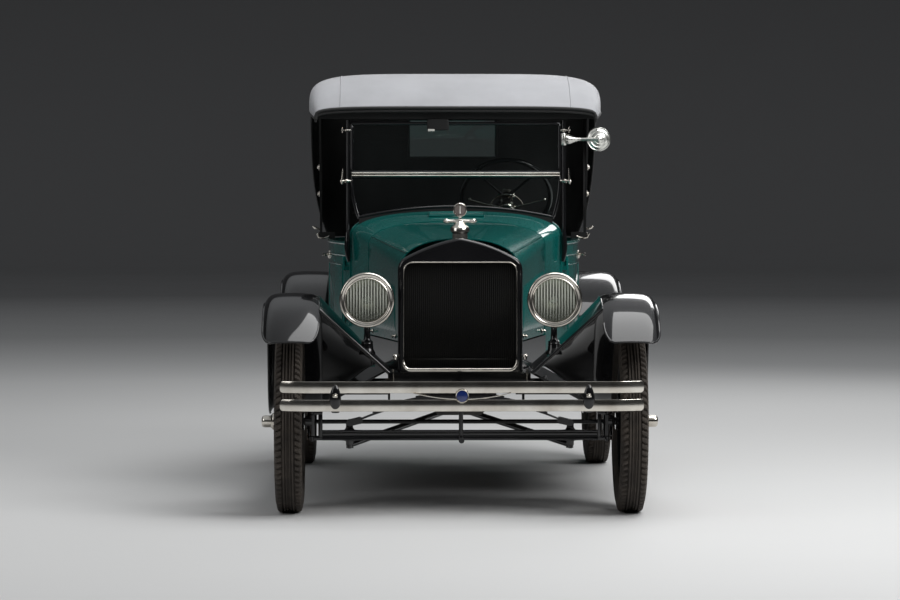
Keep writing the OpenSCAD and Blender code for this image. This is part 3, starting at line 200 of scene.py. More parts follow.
def roundedBox(low, high, power=6.0, steps=28):
    # a box with soft edges: each ring is a superellipse, drawn in at both ends of the depth
    low, high = np.asarray(low, float), np.asarray(high, float)
    mid, size = (low + high) / 2, (high - low) / 2
    b = np.linspace(-1, 1, 15) * math.pi / 2
    a = onceRound(steps)
    shrink = np.maximum(np.cos(b), 0) ** (2 / power)
    along = powered(np.sin(b), 2 / power)
    x = mid[0] + size[0] * shrink[:, None] * powered(np.cos(a), 2 / power)[None]
    z = mid[2] + size[2] * shrink[:, None] * powered(np.sin(a), 2 / power)[None]
    y = mid[1] + size[1] * along[:, None] + 0 * x
    return loftRings(sideBySide(x, y, z))


def joined(shapes):
    # several shapes as one pair of arrays
    points, faces, base = [], [], 0
    for p, f in shapes:
        points.append(np.asarray(p, float))
        faces += [tuple(int(i) + base for i in face) for face in f]
        base += len(p)
    return np.concatenate(points), faces


def mirrored(shape):
    # the same shape on the other side of the vehicle, with its faces turned back
    points, faces = shape
    return points * np.array([-1, 1, 1]), [tuple(reversed(f)) for f in faces]


def bothSides(shape):
    # the shape as drawn, for the vehicle's left, and its mirror image
    return joined([shape, mirrored(shape)])


def asDrawn(shape):
    # the shape unchanged, for the loops over both sides
    return shape


vehicleSides = (("left", asDrawn), ("right", mirrored))


def inMetres(points):
    # millimetres from the front axle, moved along to the frame's origin and divided by a thousand
    return (np.asarray(points, float) + np.array([0, frontY * metre, 0])) / metre


def outward(mesh):
    # all faces turned to the outside
    work = bmesh.new()
    work.from_mesh(mesh)
    bmesh.ops.recalc_face_normals(work, faces=work.faces)
    work.to_mesh(mesh)
    work.free()


def meshOf(name, points, faces):
    # whole arrays, in metres, as a mesh
    mesh = bpy.data.meshes.new(name)
    mesh.from_pydata(points.tolist(), [], [tuple(int(i) for i in f) for f in faces])
    return mesh


def inScene(name, data):
    # a new object in the scene's own collection
    made = bpy.data.objects.new(name, data)
    bpy.context.scene.collection.objects.link(made)
    return made


def addPiece(name, shape, material, body, replaces=(), smooth=40):
    # a mesh object at the origin that rides on a body and takes its finish from a slot;
    # shapes are in millimetres with the front axle at y = 0, as the solids are drawn
    mesh = meshOf(name, inMetres(shape[0]), shape[1])
    mesh.materials.append(material)
    mesh.validate()
    outward(mesh)
    piece = inScene(name, mesh)
    mesh.shade_smooth()
    if smooth:
        mesh.set_sharp_from_angle(angle=math.radians(smooth))
    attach(piece, body)
    if replaces:
        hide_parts(*replaces)
    return piece


# shader maths as Python expressions on one wrapped socket
class Signal:
    def __init__(self, tree, socket):
        self.tree = tree
        self.socket = socket

    def node(self, kind, settings, inputs, output=0):
        # settings first, then each socket gets its value or its link
        made = self.tree.nodes.new(kind)
        for key, value in settings.items():
            if key == "stops":
                ramp = made.color_ramp
                while len(ramp.elements) < len(value):
                    ramp.elements.new(1.0)
                for element, (place, shade) in zip(ramp.elements, value):
                    element.position = place
                    element.color = (*shade, 1.0)
            else:
                setattr(made, key, value)
        for key, value in inputs.items():
            if isinstance(value, Signal):
                self.tree.links.new(value.socket, made.inputs[key])
            else:
                made.inputs[key].default_value = value
        return Signal(self.tree, made.outputs[output])

    def maths(self, operation, other, flip=False):
        # one sum of two values; flip puts the other value first
        first, second = (other, self) if flip else (self, other)
        return self.node("ShaderNodeMath", {"operation": operation}, {0: first, 1: second})

    def __add__(self, other):
        return self.maths("ADD", other)

    def __radd__(self, other):
        return self.maths("ADD", other, True)

    def __sub__(self, other):
        return self.maths("SUBTRACT", other)

    def __rsub__(self, other):
        return self.maths("SUBTRACT", other, True)

    def __mul__(self, other):
        return self.maths("MULTIPLY", other)

    def __rmul__(self, other):
        return self.maths("MULTIPLY", other, True)

    def __gt__(self, other):
        return self.maths("GREATER_THAN", other)

    def stretched(self, scale):
        # the same coordinates, scaled along each axis
        return self.node("ShaderNodeMapping", {}, {"Vector": self, "Scale": scale})

    def part(self, axis):
        # one of the three coordinates
        return self.node("ShaderNodeSeparateXYZ", {}, {0: self}, axis)

    def noise(self, scale, detail=4.0, rough=0.55):
        # cloudy values round one half
        return self.node("ShaderNodeTexNoise", {}, {"Vector": self, "Scale": scale, "Detail": detail,
                                                    "Roughness": rough})

    def cells(self, scale, feature):
        # distances in a field of scattered cells
        return self.node("ShaderNodeTexVoronoi", {"feature": feature}, {"Vector": self, "Scale": scale})

    def waves(self, scale, direction, twist=0.0):
        # a sine along one axis, bent by noise where it is twisted
        return self.node("ShaderNodeTexWave", {"bands_direction": direction, "wave_profile": "SIN"},
                         {"Vector": self, "Scale": scale, "Distortion": twist, "Detail": 2.0})

    def ramp(self, stops):
        # colours blended between places from 0 to 1
        return self.node("ShaderNodeValToRGB", {"stops": stops}, {"Fac": self})

    def spread(self, low, high):
        # the signal from 0 to 1 laid out between two values
        return self * (high - low) + low

    def bump(self, distance, strength):
        # the signal as a height in metres over the surface
        return self.node("ShaderNodeBump", {}, {"Height": self, "Distance": distance, "Strength": strength})


def newFinish(name, plain, shade=None):
    # a material with one Principled shader: plain values go straight on its sockets,
    # shade is called with the object coordinates and gives the sockets that vary
    material = bpy.data.materials.new(name)
    material.use_nodes = True
    tree = material.node_tree
    shader = tree.nodes["Principled BSDF"]
    for key, value in plain.items():
        shader.inputs[key].default_value = value
    coords = Signal(tree, tree.nodes.new("ShaderNodeTexCoord").outputs["Object"])
    for key, value in (shade(coords) if shade else {}).items():
        tree.links.new(value.socket, shader.inputs[key])
    material.diffuse_color = plain.get("Base Color", (0.5, 0.5, 0.5, 1.0))
    return material


def enamelShade(dark, light, gloss, dust):
    # cloudy tone from a slow noise, dust specks in the roughness, and a very shallow orange peel
    def shade(p):
        tone = p.noise(2.2, 3.0)
        specks = p.noise(160.0, 3.0, 0.7)
        return {
            "Base Color": tone.ramp([(0.35, dark), (0.7, light)]),
            "Roughness": specks.spread(gloss, gloss + dust),
            "Normal": p.noise(95.0, 2.0).bump(0.00025, 0.35),
        }
    return shade


def metalShade(dark, light, low, high):
    # tarnish clouds in the colour, fine polishing marks in the roughness
    def shade(p):
        cloud = p.noise(9.0, 5.0, 0.6)
        marks = p.stretched((40.0, 40.0, 400.0)).noise(3.0, 3.0)
        return {
            "Base Color": cloud.ramp([(0.3, dark), (0.65, light)]),
            "Roughness": (marks * cloud).spread(low, high),
            "Normal": marks.bump(0.0001, 0.12),
        }
    return shade


def woodShade(dark, light, grain, along):
    # rings stretched along the grain, with pores as short dark dashes
    def shade(p):
        run = p.stretched(along)
        rings = run.waves(grain, "X", 5.0)
        pores = run.noise(grain * 9.0, 6.0, 0.7)
        return {
            "Base Color": (rings * 0.6 + pores * 0.5).ramp([(0.2, dark), (0.75, light)]),
            "Roughness": pores.spread(0.28, 0.5),
            "Normal": (pores * 0.7 + rings * 0.3).bump(0.0006, 0.35),
        }
    return shade


def rubberShade(p):
    # brown bloom over black, denser in cloudy patches, with a fine grain
    bloom = p.noise(14.0, 6.0, 0.65)
    grain = p.noise(420.0, 3.0)
    return {
        "Base Color": bloom.ramp([(0.3, (0.024, 0.02, 0.017)), (0.72, (0.07, 0.057, 0.046))]),
        "Roughness": grain.spread(0.62, 0.85),
        "Normal": (grain + bloom * 0.4).bump(0.0006, 0.4),
    }


def leatherShade(p):
    # pebbled grain from small cells, creases from a stretched noise
    pebble = p.cells(420.0, "DISTANCE_TO_EDGE")
    crease = p.noise(24.0, 6.0, 0.6)
    return {
        "Base Color": crease.ramp([(0.3, (0.006, 0.0058, 0.0055)), (0.75, (0.02, 0.019, 0.018))]),
        "Roughness": crease.spread(0.34, 0.56),
        "Normal": (pebble * 1.4 + crease * 0.5).bump(0.0009, 0.45),
    }


def clothShade(dark, light, weave):
    # crossed threads from two waves, soft fading in clouds
    def shade(p):
        fade = p.noise(3.0, 5.0, 0.6)
        across = p.waves(weave, "X")
        down = p.waves(weave, "Y")
        return {
            "Base Color": (fade * 0.8 + across * down * 0.2).ramp([(0.25, dark), (0.8, light)]),
            "Roughness": fade.spread(0.55, 0.75),
            "Normal": (across + down + fade * 0.8).bump(0.0005, 0.35),
        }
    return shade


def castShade(p):
    # sand-cast skin with oily patches
    skin = p.noise(220.0, 4.0, 0.7)
    oil = p.noise(7.0, 4.0)
    return {
        "Base Color": oil.ramp([(0.3, (0.03, 0.029, 0.028)), (0.7, (0.085, 0.08, 0.075))]),
        "Roughness": oil.spread(0.35, 0.75),
        "Normal": skin.bump(0.0012, 0.5),
    }


def coreRowsWithPaintedGapShade(p):
    # soldered fins: fine level rows across the upright tubes, as bumps and as colour bands whose dark
    # troughs are painted shade in the gaps between the fins
    rows = p.waves(95.0, "Z")
    soot = p.noise(12.0, 4.0)
    return {
        # colour: soot clouds, and the fin rows, whose dark troughs are painted shade between the fins
        "Base Color": (soot * 0.6 + rows * 0.4).ramp([(0.25, (0.002, 0.002, 0.0018)),
                                                      (0.85, (0.02, 0.019, 0.016))]),
        "Roughness": soot.spread(0.35, 0.6),
        "Normal": rows.bump(0.001, 0.6),
    }


def mottledShade(dark, light, grain, cloud, low, high):
    # small mottles in the colour, a slower cloud in the roughness
    def shade(p):
        return {
            "Base Color": p.noise(grain, 3).ramp([(0.3, dark), (0.7, light)]),
            "Roughness": p.noise(cloud, 3).spread(low, high),
        }
    return shade


# heights in metres over which the painted reflection in the lens flutes grows, as a start and a share per
# metre
fluteHighlightRise = {"start": 0.8, "perMetre": 5.5}


def glassFinish(name, tint, gloss, flutes=0.0):
    # clear pane: light goes through, and the share that mirrors grows towards the edge of view;
    # pressed flutes are upright pale bands painted over the glass, most of them in a lamp's upper half: a
    # painted reflection of the reflector
    material = bpy.data.materials.new(name)
    material.use_nodes = True
    tree = material.node_tree
    tree.nodes.remove(tree.nodes["Principled BSDF"])
    coords = Signal(tree, tree.nodes.new("ShaderNodeTexCoord").outputs["Object"])
    haze = coords.noise(6.0, 4.0)
    clear = coords.node("ShaderNodeBsdfTransparent", {}, {"Color": (*tint, 1.0)})
    mirror = coords.node("ShaderNodeBsdfGlossy", {}, {"Color": (0.9, 0.95, 0.95, 1.0), "Roughness": gloss})
    edge = coords.node("ShaderNodeFresnel", {}, {"IOR": 1.5})
    share = edge + haze * 0.03
    if flutes:
        # painted reflection: upright pale stripes across the lens, fading towards the lamp's lower half
        bands = coords.waves(flutes, "X", 0.6)
        height = (coords.part(2) - fluteHighlightRise["start"]) * fluteHighlightRise["perMetre"]
        upper = height.ramp([(0.1, (0.16, 0.16, 0.16)), (0.62, (0.85, 0.85, 0.85))])
        share = share + bands * bands * upper
        # the pale colour of the bands is a painted reflection of the lamp's reflector
        mirror = coords.node("ShaderNodeBsdfPrincipled", {},
                             {"Base Color": (0.6, 0.62, 0.55, 1.0), "Roughness": 0.16})
    mixed = coords.node("ShaderNodeMixShader", {}, {0: share, 1: clear, 2: mirror})
    tree.links.new(mixed.socket, tree.nodes["Material Output"].inputs["Surface"])
    material.diffuse_color = (*tint, 0.3)
    return material


enamelPlain = {"Coat Weight": 1.0, "Coat Roughness": 0.04, "Coat IOR": 1.5, "Specular IOR Level": 0.08}
bodyGreen = newFinish("bodyGreen", enamelPlain, enamelShade((0.002, 0.095, 0.084), (0.004, 0.128, 0.114),
                                                            0.22, 0.12))
frameBlack = newFinish("frameBlack", enamelPlain, enamelShade((0.004, 0.004, 0.0045), (0.008, 0.008, 0.009),
                                                              0.16, 0.16))
satinBlack = newFinish("satinBlack", {"Specular IOR Level": 0.3},
                       enamelShade((0.007, 0.007, 0.007), (0.016, 0.016, 0.016), 0.4, 0.25))
nickel = newFinish("nickel", {"Metallic": 1.0}, metalShade((0.52, 0.48, 0.42), (0.75, 0.72, 0.66), 0.1,
                                                           0.34))
mirrorSilver = newFinish("mirrorSilver", {"Metallic": 1.0},
                         metalShade((0.8, 0.8, 0.78), (0.92, 0.92, 0.9), 0.05, 0.14))
satinNickel = newFinish("satinNickel", {"Metallic": 1.0}, metalShade((0.6, 0.6, 0.56), (0.78, 0.78, 0.74),
                                                                     0.24, 0.42))
rubber = newFinish("rubber", {"Specular IOR Level": 0.35}, rubberShade)
spokeWood = newFinish("spokeWood", {"Coat Weight": 0.7, "Coat Roughness": 0.12},
                      woodShade((0.09, 0.04, 0.014), (0.27, 0.14, 0.055), 9.0, (1.0, 1.0, 1.0)))
bedWood = newFinish("bedWood", {"Coat Weight": 0.25, "Coat Roughness": 0.3},
                    woodShade((0.06, 0.035, 0.018), (0.2, 0.125, 0.066), 14.0, (1.0, 0.06, 1.0)))
seatLeather = newFinish("seatLeather", {"Coat Weight": 0.15, "Coat Roughness": 0.3}, leatherShade)
topCloth = newFinish("topCloth", {"Sheen Weight": 0.25, "Sheen Roughness": 0.4},
                     clothShade((0.3, 0.303, 0.318), (0.44, 0.446, 0.468), 190.0))
topLining = newFinish("topLining", {"Sheen Weight": 0.1},
                      clothShade((0.006, 0.006, 0.006), (0.014, 0.014, 0.014), 170.0))
castIron = newFinish("castIron", {"Metallic": 0.3}, castShade)
coreMetal = newFinish("coreMetal", {"Metallic": 0.5}, coreRowsWithPaintedGapShade)
paneGlass = glassFinish("paneGlass", (0.9, 0.94, 0.93), 0.02)
lensGlass = glassFinish("lensGlass", (0.9, 0.93, 0.88), 0.03, 26.0)
bulbPearl = newFinish("bulbPearl", {"Coat Weight": 1.0},
                      mottledShade((0.72, 0.74, 0.72), (0.84, 0.86, 0.84), 40, 12, 0.1, 0.25))
dialSmoke = newFinish("dialSmoke", {"Coat Weight": 1.0},
                      mottledShade((0.13, 0.11, 0.1), (0.2, 0.17, 0.16), 60, 20, 0.25, 0.4))
badgeBlue = newFinish("badgeBlue", {"Coat Weight": 1.0, "Coat Roughness": 0.05},
                      enamelShade((0.006, 0.02, 0.12), (0.01, 0.035, 0.2), 0.2, 0.1))
dialWhite = newFinish("dialWhite", {"Coat Weight": 0.6},
                      enamelShade((0.55, 0.54, 0.5), (0.66, 0.65, 0.61), 0.25, 0.1))
print("finishes made")

# finish of each solid, for those that keep their own shape
nodeFinish = [
    (frameBlack, ["frame_rails", "crossmembers", "starting_crank", "front_axle", "front_spring",
                  "radius_rod",
                  "rear_axle", "rear_spring", "radiator_shell", "hood_sills", "windshield_frame",
                  "front_fenders",
                  "fender_aprons", "rear_fenders", "splash_aprons", "headlamp_shells", "bumper_brackets",
                  "steering_column", "steering_wheel", "knuckle_left", "knuckle_right", "tie_rod"]),
    (bodyGreen, ["hood_top_left", "hood_top_right", "hood_side_left", "hood_side_right", "cowl", "cab_body",
                 "dash_panel", "door_left", "door_right", "bed", "tailgate"]),
    (nickel, ["radiator_cap", "hood_rod", "side_mirror", "headlamp_rims", "bumper_bars"]),
    (satinBlack, ["seat_base", "top_bows", "running_boards"]),
    (castIron, ["engine", "exhaust"]),
    (coreMetal, ["radiator_core"]),
    (bedWood, ["floor_boards"]),
    (seatLeather, ["seat_cushion", "seat_back"]),
    (paneGlass, ["window_glass"]),
    (lensGlass, ["headlamp_lenses"]),
    (topCloth, ["top_canopy"]),
    (spokeWood, ["wheel_front_left", "wheel_front_right", "wheel_rear_left", "wheel_rear_right"]),
    (rubber, ["tyre_front_left", "tyre_front_right", "tyre_rear_left", "tyre_rear_right"]),
]
for finish, nodeNames in nodeFinish:
    for nodeName in nodeNames:
        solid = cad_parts[nodeName]
        solid.data.materials.clear()
        solid.data.materials.append(finish)


def brightPiece(name, shape, replaces=()):
    # nickel plate on the chassis
    addPiece(name, shape, nickel, "chassis", replaces)


def blackPiece(name, shape, replaces=()):
    # black enamel on the chassis
    addPiece(name, shape, frameBlack, "chassis", replaces)


def greenPiece(name, shape, replaces=()):
    # body colour on the chassis
    addPiece(name, shape, bodyGreen, "chassis", replaces)


# front fenders: a crowned strip bent round the wheel, then swept back down to the running board
fender = {"inner": 585.0, "outer": 815.0, "archR": 538.0, "lip": 49.0, "sweepR": 170.0, "boardZ": 415.0,
          "innerDrop": 16.0, "outerDrop": 44.0, "sheet": 4.0, "cornerLong": 120.0, "cornerOut": 36.0,
          "cornerIn": 40.0, "bead": 5.0, "wheelZ": 378.5, "columns": 41, "rearInner": 542.5, "rearR": 552.0}


def frontPath(count):
    # an arc round the axle from the lip, then a reverse arc that meets it and ends level on the board
    f = fender
    sweepZ = f["boardZ"] + f["sweepR"]
    sweepY = math.sqrt((f["archR"] + f["sweepR"]) ** 2 - (sweepZ - f["wheelZ"]) ** 2)
    sweepA = math.atan2(sweepY, sweepZ - f["wheelZ"])
    lip = math.radians(f["lip"])
    first = f["archR"] * (lip + sweepA)
    s = np.linspace(0, first + f["sweepR"] * sweepA, count)
    a = -lip + s / f["archR"]
    b = sweepA - (s - first) / f["sweepR"]
    onArc = s <= first
    y = np.where(onArc, f["archR"] * np.sin(a), sweepY - f["sweepR"] * np.sin(b))
    z = np.where(onArc, f["wheelZ"] + f["archR"] * np.cos(a), sweepZ - f["sweepR"] * np.cos(b))
    return s, y, z, np.where(onArc, a, b)


def archPath(y0, radius, start, end, count):
    # an arc round an axle, angles from upright in degrees
    a = np.radians(np.linspace(start, end, count))
    return radius * (a - a[0]), y0 + radius * np.sin(a), fender["wheelZ"] + radius * np.cos(a), a


def crownDrop(u):
    # fall below the crown line: a shallow parabola, and a high power that makes the tight shoulders
    f = fender
    t = np.abs(2 * u - 1)
    inward = f["innerDrop"] * (0.4 * t ** 2 + 0.6 * t ** 5)
    outward = f["outerDrop"] * (0.2 * t ** 2 + 0.8 * t ** 7)
    return np.where(u < 0.5, inward, outward)


def cornerCut(gone, wide):
    # how far an edge draws in at a distance from the end: a quarter of an ellipse
    share = np.clip(1 - gone / fender["cornerLong"], 0, 1)
    return wide * (1 - np.sqrt(1 - share ** 2))


def fenderGrid(path, inner, outer, front, extra=0.0):
    # the crowned section carried along the path; a front fender rounds off both corners of its nose,
    # a rear one the outer corner of its tail
    s, y, z, a = path
    u = np.linspace(0, 1, fender["columns"])
    gone = s if front else s[-1] - s
    low = inner + cornerCut(gone, fender["cornerIn"]) * front
    high = outer - cornerCut(gone, fender["cornerOut"])
    x = low[:, None] + (high - low)[:, None] * u[None]
    drop = crownDrop((x - inner) / (outer - inner)) + extra
    return sideBySide(x, y[:, None] - drop * np.sin(a)[:, None], z[:, None] - drop * np.cos(a)[:, None])


def fenderShape(path, inner, outer, front):
    # the sheet, and a rolled bead along its outer edge and its rounded end
    top = fenderGrid(path, inner, outer, front)
    under = fenderGrid(path, inner, outer, front, fender["sheet"])
    middle = (top + under) / 2
    if front:
        nose = int(np.searchsorted(path[0], fender["cornerLong"]))
        edge = [middle[nose:0:-1, 0], middle[0, :-1], middle[:, -1]]
    else:
        edge = [middle[:, -1], middle[-1, -2::-1]]
    return joined([sheetBetween(top, under), tube(np.concatenate(edge), fender["bead"], 10)])


frontWay = frontPath(110)
blackPiece("frontFenders", bothSides(fenderShape(frontWay, fender["inner"], fender["outer"], True)),
           ["front_fenders"])
rearWay = archPath(wheelBase, fender["rearR"], -86.0, 76.0, 100)
blackPiece("rearFenders", bothSides(fenderShape(rearWay, fender["rearInner"], fender["outer"], False)),
           ["rear_fenders"])

# aprons between the fenders and the frame, with a rolled front edge and the lamp bosses
apron = {"foot": 595.0, "frameX": 296.0, "start": -25.0, "roll": 8.0, "lampX": 387.0, "lampY": -150.0,
         "bossZ": 718.3, "sillX": 255.0, "sillGrow": 134.0, "sillY": 55.0, "sillLong": 673.0}


def apronFootX(y):
    # the inner edge follows the hood sill, and never comes inside the frame rail
    p = apron
    return np.maximum(p["frameX"], p["sillX"] + p["sillGrow"] * (y - p["sillY"]) / p["sillLong"])


def apronShape():
    # straight lines from the fender's inner edge to the foot, the matching under face, a rolled front edge,
    # a seam bead and the boss of the lamp post
    s, y, z, a = frontWay
    keep = a >= math.radians(apron["start"])
    keep |= s > s[len(s) // 2]
    s, y, z, a = s[keep], y[keep], z[keep], a[keep]
    w = np.linspace(0, 1, 25)[None, :, None]

    def face(extra):
        # the upper face, or the same lines set lower by the sheet
        drop = fender["innerDrop"] + extra
        edge = sideBySide(fender["inner"], y - drop * np.sin(a), z - drop * np.cos(a))
        foot = sideBySide(apronFootX(y), y, apron["foot"] - extra)
        return edge[:, None] * (1 - w) + foot[:, None] * w
    top, under = face(0.0), face(fender["sheet"])
    front = (top[0] + under[0]) / 2
    seam = (top[:, 0] + under[:, 0]) / 2
    boss = revolve([(0, 0), (21, 0), (23, -2), (24, -8), (26, -30), (34, -44), (34, -52), (0, -52)],
                   (apron["lampX"], apron["lampY"], apron["bossZ"]), (0, 0, 1), 40)
    return joined([sheetBetween(top, under), tube(front, apron["roll"], 12), tube(seam, 4.0, 10), boss])


blackPiece("fenderAprons", bothSides(apronShape()), ["fender_aprons"])
print("fenders and aprons made")

# tyres: a round carcass with centre ribs and square shoulder lugs
tyre = {"outer": 378.5, "seat": 267.4, "lugs": 84, "steps": 6, "slant": 0.5, "lugDeep": 9.0}


def tyreShape(x0, y0, side):
    # a closed section turned about the axle; grooves are steps in it, rings stand out on the walls,
    # and the shoulders fall back in every gap between lugs
    t = tyre
    a = onceRound(t["lugs"] * t["steps"])
    wallA = np.linspace(0, 1, 34)
    wallX = 36 + 20 * np.sin(np.pi * np.clip(wallA * 0.62, 0, 1) ** 0.9)
    for place, high in ((0.12, 2.2), (0.66, 1.5), (0.76, 1.5), (0.86, 1.5)):
        wallX += high * np.exp(-((wallA - place) / 0.028) ** 2)
    wallR = t["seat"] + (t["outer"] - 24 - t["seat"]) * wallA
    tread = np.array([(52.5, -17, 1), (51, -12, 1), (49.5, -7, 1), (46, -3, 1), (38, -1, 1), (29, 0, 1),
                      (28.6, 0, 0), (28, -7.5, 0), (22.6, -7.5, 0), (22, 0, 0), (15.5, 0, 0), (15, -7.5, 0),
                      (10, -7.5, 0), (9.5, 0, 0), (5.5, 0, 0), (5, -7.5, 0), (1, -7.5, 0), (0.6, -7.5, 0)])
    half = np.concatenate([sideBySide(wallX, wallR, np.zeros(len(wallA))),
                           sideBySide(tread[:, 0], t["outer"] + tread[:, 1], tread[:, 2])])
    other = half[::-1] * np.array([-1, 1, 1])
    section = np.concatenate([half, other])
    shoulder = np.clip((np.abs(section[:, 0]) - 29) / 20, 0, 1)
    turned = np.where(section[:, 0] < 0, 0.5, 0.0) + t["slant"] * shoulder
    late = ((np.arange(len(a))[None] / t["steps"] + turned[:, None]) % 1) >= 0.62
    r = section[:, 1][:, None] - section[:, 2][:, None] * late * t["lugDeep"]
    x = x0 + side * section[:, 0]
    grid = sideBySide(x[:, None], y0 + r * np.sin(a)[None], t["outer"] + r * np.cos(a)[None])
    return grid.reshape(-1, 3), [tuple(f) for f in gridFaces(len(section), len(a), True, True)]


corners = {"front_left": (1, 0.0), "front_right": (-1, 0.0), "rear_left": (1, wheelBase),
           "rear_right": (-1, wheelBase)}
for corner, (side, y0) in corners.items():
    addPiece("tyre_" + corner + "_tread", tyreShape(side * trackHalf, y0, side), rubber, "wheel_" + corner,
             ["tyre_" + corner], smooth=28)

# wheels: turned hub and rim, twelve wood spokes, bolts round the flange
wheel = {"spokes": 12, "felloeIn": 222.0, "turn": 0.13}


def spokeShape(x0, y0):
    # an oval that narrows from a square foot at the hub to a round tenon, carried out along a radius
    r = np.array([52, 60, 78, 100, 130, 165, 200, 218, 228], float)
    wide = np.array([19, 20, 19.5, 17, 15, 14, 13.5, 14.5, 15])
    deep = np.array([17.5, 17.5, 17, 16, 15, 14, 13, 13, 13])
    power = np.array([0.35, 0.35, 0.5, 0.8, 1, 1, 1, 0.8, 0.7])[:, None]
    a = onceRound(20)[None]
    u = powered(np.cos(a), power) * wide[:, None]
    v = powered(np.sin(a), power) * deep[:, None]
    parts = []
    for turn in np.arange(wheel["spokes"]) * 2 * np.pi / wheel["spokes"] + wheel["turn"]:
        out = np.array([0, math.sin(turn), math.cos(turn)])
        across = np.array([0, math.cos(turn), -math.sin(turn)])
        centre = np.array([x0, y0, tyre["outer"]]) + r[:, None, None] * out
        parts.append(loftRings(centre + u[..., None] * across + v[..., None] * np.array([1.0, 0, 0])))
    return joined(parts)


def boltHeads(x, y0, radius, count, size, deep, side, turn=0.0):
    # hexagon heads on a circle round the axle
    head = [(0, 0), (size, 0), (size, deep * 0.75), (size * 0.8, deep), (0, deep)]
    parts = []
    for a in np.arange(count) * 2 * np.pi / count + turn:
        place = (x, y0 + radius * math.sin(a), tyre["outer"] + radius * math.cos(a))
        parts.append(revolve(head, place, (side, 0, 0), 6))
    return joined(parts)


def ringOf(profile, x0, y0, side, steps=96):
    # a closed profile of radius and outward reach, turned about the axle
    shut = list(profile) + [profile[0]]
    return revolve(shut, (x0, y0, tyre["outer"]), (side, 0, 0), steps)


for corner, (side, y0) in corners.items():
    x0 = side * trackHalf
    body = "wheel_" + corner
    w = wheel
    felloe = ringOf([(w["felloeIn"], -17), (w["felloeIn"] + 4, -20), (253, -22), (255, -20), (255, 20),
                     (253, 22), (w["felloeIn"] + 4, 20), (w["felloeIn"], 17)], x0, y0, side)
    addPiece(body + "_wood", joined([spokeShape(x0, y0), felloe]), spokeWood, body, [body])
    rim = ringOf([(255.2, -24), (262, -33), (266, -36), (270, -37.5), (272, -35), (267, -30), (266, 30),
                  (272, 35), (270, 37.5), (266, 36), (262, 33), (255.2, 24)], x0, y0, side, 120)
    lugs = joined([boltHeads(x0 + side * 20, y0, 240, 6, 9, 8, side, 0.4),
                   boltHeads(x0 + side * 17, y0, 62, 6, 8, 12, side)])
    flange = ringOf([(30, 14), (74, 14), (76, 16), (76, 21), (73, 23), (46, 24), (42, 27), (30, 27)], x0,
                    y0, side, 64)
    back = ringOf([(17, -60), (36, -60), (36, -24), (74, -22), (76, -19), (74, -16), (30, -16), (17, -30)],
                  x0, y0, side, 64)
    metal = [rim, lugs, flange, back]
    if corner.startswith("rear"):
        metal.append(ringOf([(36, -26), (132, -26), (132, -66), (140, -66), (141, -62), (140, -58),
                             (140, -20), (137, -17), (36, -17)], x0, y0, side, 80))
    addPiece(body + "_metal", joined(metal), frameBlack, body, [body])
    cap = revolve([(0, 119), (10, 118.5), (17, 117), (21.5, 114), (24, 109), (25, 103), (25, 80),
                   (28, 78.5), (30, 75), (34, 73), (35.5, 70), (35, 62), (35, 44), (38, 40), (41, 33),
                   (42, 26), (30, 24)], (x0, y0, tyre["outer"]), (side, 0, 0), 64)
    addPiece(body + "_cap", cap, nickel, body, [body])
print("wheels and tyres made")

# hood: superelliptic crowns at the radiator and at the cowl, with straight lines between them
hood = {"front": (55.0, 254.0, 1005.0, 138.0, 2.3, 31.0), "rear": (728.0, 386.0, 1091.0, 112.0, 2.5, 19.0),
        "foot": 710.0, "sheet": 4.0, "bead": 4.0, "louvres": 17, "louvreLow": 745.0, "louvreHigh": 935.0,
        "seam": 6.0, "footX": 250.0, "footGrow": 134.0, "leafGap": 5.2}


def crownRing(s, angles, inset=0.0):
    # half width and rise, each with its share of cosine and sine raised to two over the roundness
    y, hw, base, rise, power = s[:5]
    c, d = np.cos(angles), np.sin(angles)
    x = (hw - inset) * powered(c, 2 / power)
    z = base + (rise - inset) * np.abs(d) ** (2 / power)
    return sideBySide(x, y, z)


def crownEdge(s):
    # the angle at which the crown comes within half the middle seam: its width solved for the angle
    return math.acos((hood["seam"] / s[1]) ** (s[4] / 2))


def hoodShare(y):
    # 0 at the radiator, 1 at the cowl
    return (y - hood["front"][0]) / (hood["rear"][0] - hood["front"][0])


def betweenRings(first, last, count=30):
    # straight lines from each point of one ring to the matching point of the other
    t = np.linspace(0, 1, count)[:, None, None]
    return first[None] * (1 - t) + last[None] * t


def hoodTopShape():
    # half of the crown from the middle seam to the hinge, as two faces, with a bead along the hinge
    h = hood
    faces = []
    for inset in (0.0, h["sheet"]):
        rings = [crownRing(s, np.linspace(crownEdge(s), math.radians(s[5]), 48),
                           inset) for s in (h["front"], h["rear"])]
        faces.append(betweenRings(*rings))
    edge = [crownRing(s, np.array([math.radians(s[5])]))[0] for s in (h["front"], h["rear"])]
    bead = tube(np.linspace(edge[0], edge[1], 12), h["bead"], 12)
    return joined([sheetBetween(*faces), bead])


def sideFootX(y):
    # half width at the sill, which grows in proportion to the distance from the radiator
    return hood["footX"] + hood["footGrow"] * hoodShare(y)


def hoodSideFaces(inset):
    # the rest of the crown below the hinge, then straight lines down to the sill
    h = hood
    rings = []
    for s in (h["front"], h["rear"]):
        a1 = math.radians(s[5])
        near = crownRing(s, np.array([a1, a1 - math.radians(1)]))
        step = np.linalg.norm(near[0] - near[1])
        start = a1 - math.radians(h["leafGap"] / step)
        upper = crownRing(s, np.linspace(start, 0, 20), inset)
        foot = np.array([[sideFootX(s[0]) - inset, s[0], h["foot"]]])
        w = np.linspace(0, 1, 14)[1:, None]
        rings.append(np.concatenate([upper, upper[-1] * (1 - w) + foot * w]))
    return betweenRings(*rings)


